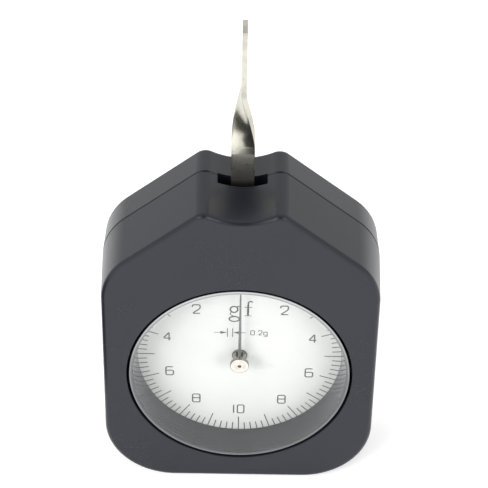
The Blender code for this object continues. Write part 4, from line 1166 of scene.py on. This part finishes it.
@dataclass
class Stroke:
    """One stroke of print in the plane of the dial."""

    width: float
    points: tuple[Point, ...]
    rounding: float = 0.0
    smooth: bool = False
    handles: tuple[tuple[Point, Point], ...] = ()

    @classmethod
    def ellipse(cls, centre: Point, across: float, up: float, width: float) -> Stroke:
        """A ring.

        Args:
            centre: Its middle, x and z.
            across: Half its width.
            up: Half its height.
            width: The stroke's width.

        Returns:
            The closed stroke.
        """
        points, handles = [], []
        for way_x, way_z in ((1, 0), (0, 1), (-1, 0), (0, -1)):
            x, z = centre[0] + across * way_x, centre[1] + up * way_z
            reach_x, reach_z = across * way_z * ROUND_HANDLE, up * way_x * ROUND_HANDLE
            points.append((x, z))
            handles.append(((x + reach_x, z - reach_z), (x - reach_x, z + reach_z)))
        return cls(width, tuple(points), handles=tuple(handles))

    def knots(self) -> list[tuple[Point, Point, Point]]:
        """The stroke's curve points, its corners rounded.

        Returns:
            Each point between its two handles.
        """
        if self.handles:
            return [(left, point, right) for point, (left, right) in zip(self.points, self.handles)]
        knots: list[tuple[Point, Point, Point]] = []
        last = len(self.points) - 1
        for place, point in enumerate(self.points):
            if place in (0, last) or not self.rounding:
                knots.append((point, point, point))
                continue
            corner = Vector(point)
            before = Vector(self.points[place - 1]) - corner
            after = Vector(self.points[place + 1]) - corner
            near = min(self.rounding, before.length * CORNER_SHARE, after.length * CORNER_SHARE)
            enter, leave = corner + before.normalized() * near, corner + after.normalized() * near
            knots.append((tuple(enter), tuple(enter), tuple(enter.lerp(corner, CORNER_HANDLE))))
            knots.append((tuple(leave.lerp(corner, CORNER_HANDLE)), tuple(leave), tuple(leave)))
        return knots

    def lay(self, curve: bpy.types.Curve) -> None:
        """Adds the stroke to a curve.

        Args:
            curve: A curve with a bevel depth.
        """
        knots = self.knots()
        spline = curve.splines.new("BEZIER")
        spline.bezier_points.add(len(knots) - 1)
        spline.use_cyclic_u = bool(self.handles)
        for place, (left, point, right) in zip(spline.bezier_points, knots):
            place.co = (*point, 0.0)
            place.handle_left_type = place.handle_right_type = "AUTO" if self.smooth else "FREE"
            if not self.smooth:
                place.handle_left = (*left, 0.0)
                place.handle_right = (*right, 0.0)
            place.radius = self.width / 2 / curve.bevel_depth


@dataclass
class DialPrint:
    """The print of the dial: scale, numerals, unit and the mark of the smallest division."""

    depth: float = 0.0072
    raised: float = 0.000012
    pen_radius: float = 0.0001
    unit_degrees: float = 18.0
    parts: int = 5
    long_inner: float = 0.0190
    short_inner: float = 0.0208
    tick_outer: float = 0.0235
    tick_width: float = 0.00024
    numeral_radius: float = 0.0165
    numeral_width: float = 0.00198
    numeral_height: float = 0.00275
    numeral_stroke: float = 0.00030
    four_shift: float = 0.0005
    ten_height: float = -0.01655
    one_place: float = -0.00115
    one_width: float = 0.001
    zero_place: float = 0.00045
    zero_width: float = 0.0015
    thick: float = 0.00042
    thin: float = 0.00018
    mark_height: float = 0.00664
    mark_line: float = 0.00015
    mark_bar: float = 0.0013
    mark_text: float = 0.00125
    mark_text_rise: float = 0.00002
    mark_stroke: float = 0.00019
    arrow_radius: float = 0.00061
    arrow_side: float = 0.00086

    def build(self) -> None:
        """Builds all printed pieces."""
        self.ticks()
        self.numerals()
        self.unit()
        self.division_mark()

    def middle(self) -> Matrix:
        """The dial's middle, at the face of the print."""
        return Matrix.Translation((0.0, y_at(self.depth), DIAL_HEIGHT))

    def ticks(self) -> None:
        """A tick at each fifth of a unit, longer at each unit."""
        work = Workpiece("print_scale")
        count = round(360.0 / self.unit_degrees) * self.parts
        for step in range(count):
            inner = self.short_inner if step % self.parts else self.long_inner
            size = Matrix.Diagonal((self.tick_width, 2 * self.raised, self.tick_outer - inner, 1.0))
            out = Matrix.Translation((0.0, 0.0, (inner + self.tick_outer) / 2))
            turn = Matrix.Rotation(math.tau * step / count, 4, "Y")
            bmesh.ops.create_cube(work.shape, size=1.0, matrix=self.middle() @ turn @ out @ size)
        install(work.place(INK), Body.CASE, "dial_enamel")

    def draw(self, name: str, lines: Iterable[Stroke]) -> None:
        """Prints strokes on the dial.

        Args:
            name: The piece's name.
            lines: Its strokes.
        """
        curve = bpy.data.curves.new(name, "CURVE")
        curve.dimensions = "3D"
        curve.bevel_depth = self.pen_radius
        curve.bevel_resolution = 1
        curve.use_fill_caps = True
        curve.resolution_u = 6
        for line in lines:
            line.lay(curve)
        pen = show(name, curve)
        mesh = final_mesh(pen)
        bpy.data.objects.remove(pen)
        bpy.data.curves.remove(curve)
        thickest = max(abs(vert.co.z) for vert in mesh.vertices)
        flat = Matrix.Diagonal((1.0, 1.0, self.raised / thickest, 1.0))
        mesh.transform(self.middle() @ UPRIGHT @ flat)
        mesh.name = name
        mesh.materials.clear()
        mesh.materials.append(material_of(INK))
        install(show(name, mesh), Body.CASE, "dial_enamel")

    def numerals(self) -> None:
        """2, 4, 6 and 8 on both sides, and 10 at the bottom."""
        stroke = self.numeral_stroke
        height = self.numeral_height - stroke
        lines: list[Stroke] = []
        for count, glyph in ((2, Glyph.TWO), (4, Glyph.FOUR), (6, Glyph.SIX), (8, Glyph.EIGHT)):
            turn = math.radians(count * self.unit_degrees)
            radius = self.numeral_radius + (self.four_shift if count == 4 else 0.0)
            for side in (-1, 1):
                centre = (side * radius * math.sin(turn), radius * math.cos(turn))
                lines += glyph.strokes(centre, (self.numeral_width - stroke, height), stroke)
        for glyph, x, width in (
            (Glyph.ONE, self.one_place, self.one_width), (Glyph.ZERO, self.zero_place, self.zero_width)
        ):
            lines += glyph.strokes((x, self.ten_height), (width, height), stroke)
        self.draw("print_numerals", lines)

    def unit(self) -> None:
        """The unit's two letters on either side of the needle, with serifs."""
        thick, thin = self.thick, self.thin
        lines = [
            Stroke.ellipse((-0.00140, 0.01340), 0.00082, 0.00086, thick * 0.85),
            Stroke.ellipse((-0.00132, 0.01063), 0.00112, 0.00072, thick * 0.8),
        ]
        for width, points in (
            (thin * 1.2, ((-1.95, 12.70), (-2.22, 12.15), (-1.90, 11.70), (-1.35, 11.45))),
            (thin * 1.4, ((-0.78, 14.00), (-0.50, 14.32), (-0.18, 14.25))),
            (thick, ((1.70, 11.65), (1.70, 14.80))),
            (thick * 0.8, ((1.70, 14.75), (1.82, 15.50), (2.26, 15.78), (2.62, 15.60))),
            (thick * 1.1, ((2.55, 15.52), (2.62, 15.46))),
            (thin, ((0.92, 14.05), (2.58, 14.05))),
            (thin, ((0.92, 11.60), (2.50, 11.60))),
        ):
            placed = tuple((x * MM, z * MM) for x, z in points)
            lines.append(Stroke(width, placed, smooth=len(points) > 2))
        self.draw("print_unit", lines)

    def division_mark(self) -> None:
        """Two arrows towards a pair of bars, and the size of the smallest division."""
        middle, line, bar = self.mark_height, self.mark_line, self.mark_bar
        lines = [
            Stroke(line * 1.2, ((x, middle - bar), (x, middle + bar))) for x in (-0.00279, -0.00163)
        ]
        lines += [
            Stroke(line, ((start, middle), (end, middle)))
            for start, end in ((-0.00578, -0.00420), (-0.00030, 0.00126))
        ]
        for glyph, x, width in (
            (Glyph.ZERO, 2.78, 0.82),
            (Glyph.POINT, 3.68, 0.60),
            (Glyph.TWO, 4.48, 0.78),
            (Glyph.SMALL_G, 5.64, 0.78),
        ):
            centre = (x * MM, middle + self.mark_text_rise)
            lines += glyph.strokes(centre, (width * MM, self.mark_text), self.mark_stroke)
        self.draw("print_division", lines)
        heads = Workpiece("print_arrowheads")
        for tip, base in ((-0.00289, -0.00436), (-0.00153, -0.00010)):
            out = Vector((tip - base, 0.0, 0.0))
            turn = out.to_track_quat("Z", "Y").to_matrix().to_4x4()
            spot = self.middle() @ Matrix.Translation(((tip + base) / 2, 0.0, middle))
            flat = Matrix.Diagonal((1.0, 2 * self.raised / self.arrow_side, 1.0, 1.0))
            square = Matrix.Rotation(math.radians(45.0), 4, "Z")
            bmesh.ops.create_cone(
                heads.shape, cap_ends=True, segments=4, radius1=self.arrow_radius, depth=out.length,
                matrix=spot @ flat @ turn @ square,
            )
        install(heads.place(INK), Body.CASE, "dial_enamel")


# Pointer and lever


@dataclass
class PointerHub:
    """The pressed cap that carries the needle, its neck, and the collar on the dial."""

    front: float = 0.00335
    thickness: float = 0.0009
    radius: float = 0.0021
    edge: float = 0.00022
    back_edge: float = 0.00012
    dimple_radius: float = 0.00042
    dimple_depth: float = 0.00035
    dimple_edge: float = 0.00006
    neck_radius: float = 0.0008
    neck_back: float = 0.0064
    neck_edge: float = 0.0001
    collar_front: float = 0.0068
    collar_back: float = 0.0072
    collar_radius: float = 0.00173
    collar_hole: float = 0.00064
    collar_slope: Point = (0.00018, 0.00025)
    collar_edges: Point3 = (0.00005, 0.0001, 0.00006)

    def build(self) -> None:
        """Builds cap, neck and collar."""
        back = self.front + self.thickness
        dimple = self.front + self.dimple_depth
        cap = [
            (dimple, 0.0),
            (self.front + self.dimple_depth * 0.8, self.dimple_radius * 0.7),
            (self.front, self.dimple_radius, self.dimple_edge),
            (self.front, self.radius, self.edge),
            (back, self.radius, self.back_edge),
            (back, 0.0),
        ]
        neck = [
            (back, 0.0),
            (back, self.neck_radius),
            (self.neck_back, self.neck_radius, self.neck_edge),
            (self.neck_back, 0.0),
        ]
        hole_edge, inner_edge, outer_edge = self.collar_edges
        deep, wide = self.collar_slope
        collar = [
            (self.collar_front, self.collar_hole, hole_edge),
            (self.collar_front, self.collar_radius - wide, inner_edge),
            (self.collar_front + deep, self.collar_radius, outer_edge),
            (self.collar_back, self.collar_radius),
            (self.collar_back, self.collar_hole),
        ]
        for name, profile, steps, finish, body, node in (
            ("pointer_cap", cap, 96, CAP_NICKEL, Body.POINTER, "pointer_hub"),
            ("pointer_neck", neck, 64, NECK_PAINTED_SHADE, Body.POINTER, "pointer_hub"),
            ("collar_ring", collar, 96, COLLAR_SHADED_NICKEL, Body.CASE, "dial_collar"),
        ):
            install(Workpiece(name).turn(profile, steps).place(finish), body, "bright_nickel", node)


@dataclass
class Needle:
    """The tapered needle, with an eye around the hub's neck."""

    front: float = 0.00510
    back: float = 0.00535
    root: float = 0.00095
    length: float = 0.0215
    root_width: float = 0.00078
    tip_width: float = 0.00028
    edge: float = 0.00004
    eye_radius: float = 0.0011
    eye_hole: float = 0.0008

    def build(self) -> None:
        """Builds the blade and its eye."""
        work = Workpiece("pointer_needle")
        half, root, tip = self.root_width / 2, DIAL_HEIGHT + self.root, DIAL_HEIGHT + self.length
        work.block((-half, y_at(self.front), root), (half, y_at(self.back), tip))
        ends = [vert for vert in work.shape.verts if vert.co.z > (root + tip) / 2]
        bmesh.ops.scale(work.shape, vec=(self.tip_width / self.root_width, 1.0, 1.0), verts=ends)
        bevel(work.shape, work.shape.edges, self.edge, 2)
        work.turn([
            (self.front, self.eye_hole),
            (self.front, self.eye_radius, self.edge),
            (self.back, self.eye_radius, self.edge),
            (self.back, self.eye_hole),
        ], 64)
        install(work.place(LACQUER), Body.POINTER, "pointer_lacquer", "pointer")


@dataclass
class Lever:
    """The flat steel strip, straight in the case, twisted above it and straight to its tip."""

    width: float = 0.0050
    thickness: float = 0.0011
    depth: float = 0.0138
    foot: float = 0.0649
    twist_bottom: float = 0.0822
    twist_top: float = 0.0992
    top: float = 0.1137
    tip_radius: float = 0.0007
    edge: float = 0.00009
    twist_shares: tuple[Point, ...] = ((0.12, 0.06), (0.76, 0.88), (0.12, 0.06))
    twist_steps: int = 64
    cuts: int = 9

    def build(self) -> None:
        """Builds the strip by extruding and spinning its section."""
        work = Workpiece("lever_strip")
        start = Matrix.Translation((0.0, y_at(self.depth), self.foot))
        flat = Matrix.Diagonal((self.width, self.thickness, 1.0, 1.0))
        made = bmesh.ops.create_grid(
            work.shape, x_segments=1, y_segments=1, size=0.5, matrix=start @ flat
        )
        bevel(work.shape, made["verts"], self.edge, 2, "VERTICES")
        sides = [edge for edge in work.shape.edges if edge.calc_length() > self.width / 2]
        bmesh.ops.bisect_edges(work.shape, edges=sides, cuts=self.cuts)
        face = self.straight(work, next(iter(work.shape.faces)), self.twist_bottom)
        length = self.twist_top - self.twist_bottom
        for rise, turn in self.twist_shares:
            steps = max(4, round(self.twist_steps * rise))
            spun = bmesh.ops.spin(
                work.shape, geom=[face], cent=(0.0, y_at(self.depth), 0.0), axis=(0.0, 0.0, 1.0),
                dvec=(0.0, 0.0, length * rise / steps), angle=-math.radians(90.0 * turn), steps=steps,
            )
            face = first_of(spun["geom_last"], Face)
        face = self.straight(work, face, self.top)
        ends = [
            edge for edge in face.edges
            if abs((edge.verts[0].co - edge.verts[1].co).x) > self.thickness / 2
        ]
        bevel(work.shape, ends, self.tip_radius, 6)
        piece = work.place(GroundSteel(), 40.0)
        even_shading(piece)
        install(piece, Body.LEVER, "polished_steel", "lever_blade")

    def straight(self, work: Workpiece, face: Face, height: float) -> Face:
        """Extrudes an end face straight up.

        Args:
            work: The piece to build in.
            face: Its upper end face.
            height: The height to reach.

        Returns:
            The new upper end face.
        """
        rise = height - face.calc_center_median().z
        grown = bmesh.ops.extrude_face_region(work.shape, geom=[face, *face.edges, *face.verts])["geom"]
        verts = [part for part in grown if isinstance(part, Vert)]
        bmesh.ops.translate(work.shape, verts=verts, vec=(0.0, 0.0, rise))
        return first_of(grown, Face)


def dress_nodes() -> None:
    """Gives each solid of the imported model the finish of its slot."""
    for part in frame["record"]["subparts"]:
        material = material_of(SLOT_FINISHES[part["material_slot"]])
        for slot in frame["nodes"][part["node"]].material_slots:
            slot.material = material
        LOG.info("%s: dressed as %s", part["node"], part["material_slot"])


# Studio


@dataclass(frozen=True)
class SoftBox:
    """A square soft light that faces the gauge."""

    name: str
    place: Point3
    size: float
    watts: float
    in_gloss: bool = False
    aim: Point3 = (0.0, 0.0, 0.050)

    def build(self) -> None:
        """Adds the light."""
        light = bpy.data.lights.new(self.name, "AREA")
        light.shape = "SQUARE"
        light.size = self.size
        light.energy = self.watts
        lamp = show(self.name, light)
        lamp.location = self.place
        lamp.rotation_euler = (Vector(self.aim) - lamp.location).to_track_quat("-Z", "Y").to_euler()
        lamp.visible_glossy = self.in_gloss


@dataclass(frozen=True)
class Sky:
    """Soft light from all round that fades out high before the gauge."""

    strength: float = 1.05
    colour: Colour = (1.0, 1.0, 1.0)
    dark_way: Point3 = (0.0, -0.70, 0.714)
    bright_from: float = 0.78
    dark_from: float = 0.96

    def build(self) -> None:
        """Sets the world."""
        world = bpy.data.worlds.new("studio_sky")
        bpy.context.scene.world = world
        graph = Graph(world)
        way = graph.node("TexCoord").outputs["Generated"]
        dot = graph.node("VectorMath", {"operation": "DOT_PRODUCT"}, {0: way, 1: self.dark_way})
        share = 1 - Value(graph, dot.outputs["Value"]).ramp(self.bright_from, self.dark_from)
        inputs = {"Color": self.colour, "Strength": share * self.strength}
        graph.finish(graph.node("Background", None, inputs), "OutputWorld")


@dataclass(frozen=True)
class ReflectionCard:
    """A dark card on the floor left of the gauge, which shows only in reflections."""

    degrees: Point = (38.0, 101.0)
    radii: Point = (0.070, 0.450)
    height: float = 0.0005

    def build(self) -> None:
        """Adds the card."""
        work = Workpiece("studio_card")
        for degrees, radii in zip(self.degrees, (self.radii, self.radii[::-1])):
            turn = math.radians(degrees)
            for radius in radii:
                place = (-radius * math.sin(turn), -radius * math.cos(turn), self.height)
                bmesh.ops.create_vert(work.shape, co=place)
        bmesh.ops.contextual_create(work.shape, geom=list(work.shape.verts))
        card = work.place(DarkFelt())
        card.visible_camera = False
        card.visible_diffuse = False
        card.visible_shadow = False
        card.visible_transmission = False


@dataclass
class Studio:
    """Pale floor, soft lights and the photograph's camera."""

    elevation: float = 38.8115
    azimuth: float = -0.2857
    roll: float = 1.0819
    target: Point3 = (0.000481, -0.012, 0.068684)
    distance: float = 0.42574
    focal_pixels: float = 2033.0
    frame_pixels: float = 488.0
    floor_size: float = 3.0
    floor_drop: float = 0.00002
    boxes: tuple[SoftBox, ...] = (
        SoftBox("key_left", (-0.80, -0.70, 0.45), 0.60, 10.5),
        SoftBox("fill_right", (0.85, -0.75, 0.28), 0.60, 6.0),
        SoftBox("glow_left", (-0.50, -0.82, 0.63), 0.34, 2.2, True),
        SoftBox("glow_right", (0.50, -0.82, 0.63), 0.34, 2.2, True),
    )

    def build(self) -> None:
        """Builds floor, sky, lights and camera."""
        work = Workpiece("studio_floor")
        bmesh.ops.create_grid(work.shape, x_segments=1, y_segments=1, size=self.floor_size / 2)
        bmesh.ops.translate(work.shape, verts=work.shape.verts, vec=(0.0, 0.0, -self.floor_drop))
        work.place(StudioPaper())
        Sky().build()
        for box in self.boxes:
            box.build()
        ReflectionCard().build()
        self.camera()
        bpy.context.scene.view_settings.view_transform = "Standard"
        bpy.context.scene.view_settings.look = "None"

    def camera(self) -> None:
        """Adds the camera."""
        rise, turn, roll = (math.radians(angle) for angle in (self.elevation, self.azimuth, self.roll))
        level = math.cos(rise)
        forward = Vector((-math.sin(turn) * level, math.cos(turn) * level, -math.sin(rise)))
        right = forward.cross(Vector((0.0, 0.0, 1.0))).normalized()
        up = right.cross(forward)
        side = right * math.cos(roll) + up * math.sin(roll)
        above = up * math.cos(roll) - right * math.sin(roll)
        lens = bpy.data.cameras.new("photo_camera")
        lens.sensor_fit = "HORIZONTAL"
        lens.sensor_width = 36.0
        lens.lens = lens.sensor_width * self.focal_pixels / self.frame_pixels
        lens.clip_start = 0.01
        camera = show("photo_camera", lens)
        turned = Matrix((side, above, -forward)).transposed().to_4x4()
        camera.matrix_world = Matrix.Translation(Vector(self.target) - forward * self.distance) @ turned
        bpy.context.scene.camera = camera


def main() -> None:
    """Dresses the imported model, builds the finer pieces and sets the scene."""
    logging.basicConfig(level=logging.INFO, format="%(name)s %(message)s")
    Studio().build()
    dress_nodes()
    for assembly in (Case(), Crystal(), DialPrint(), PointerHub(), Needle(), Lever()):
        assembly.build()


if __name__ == "__main__":
    main()
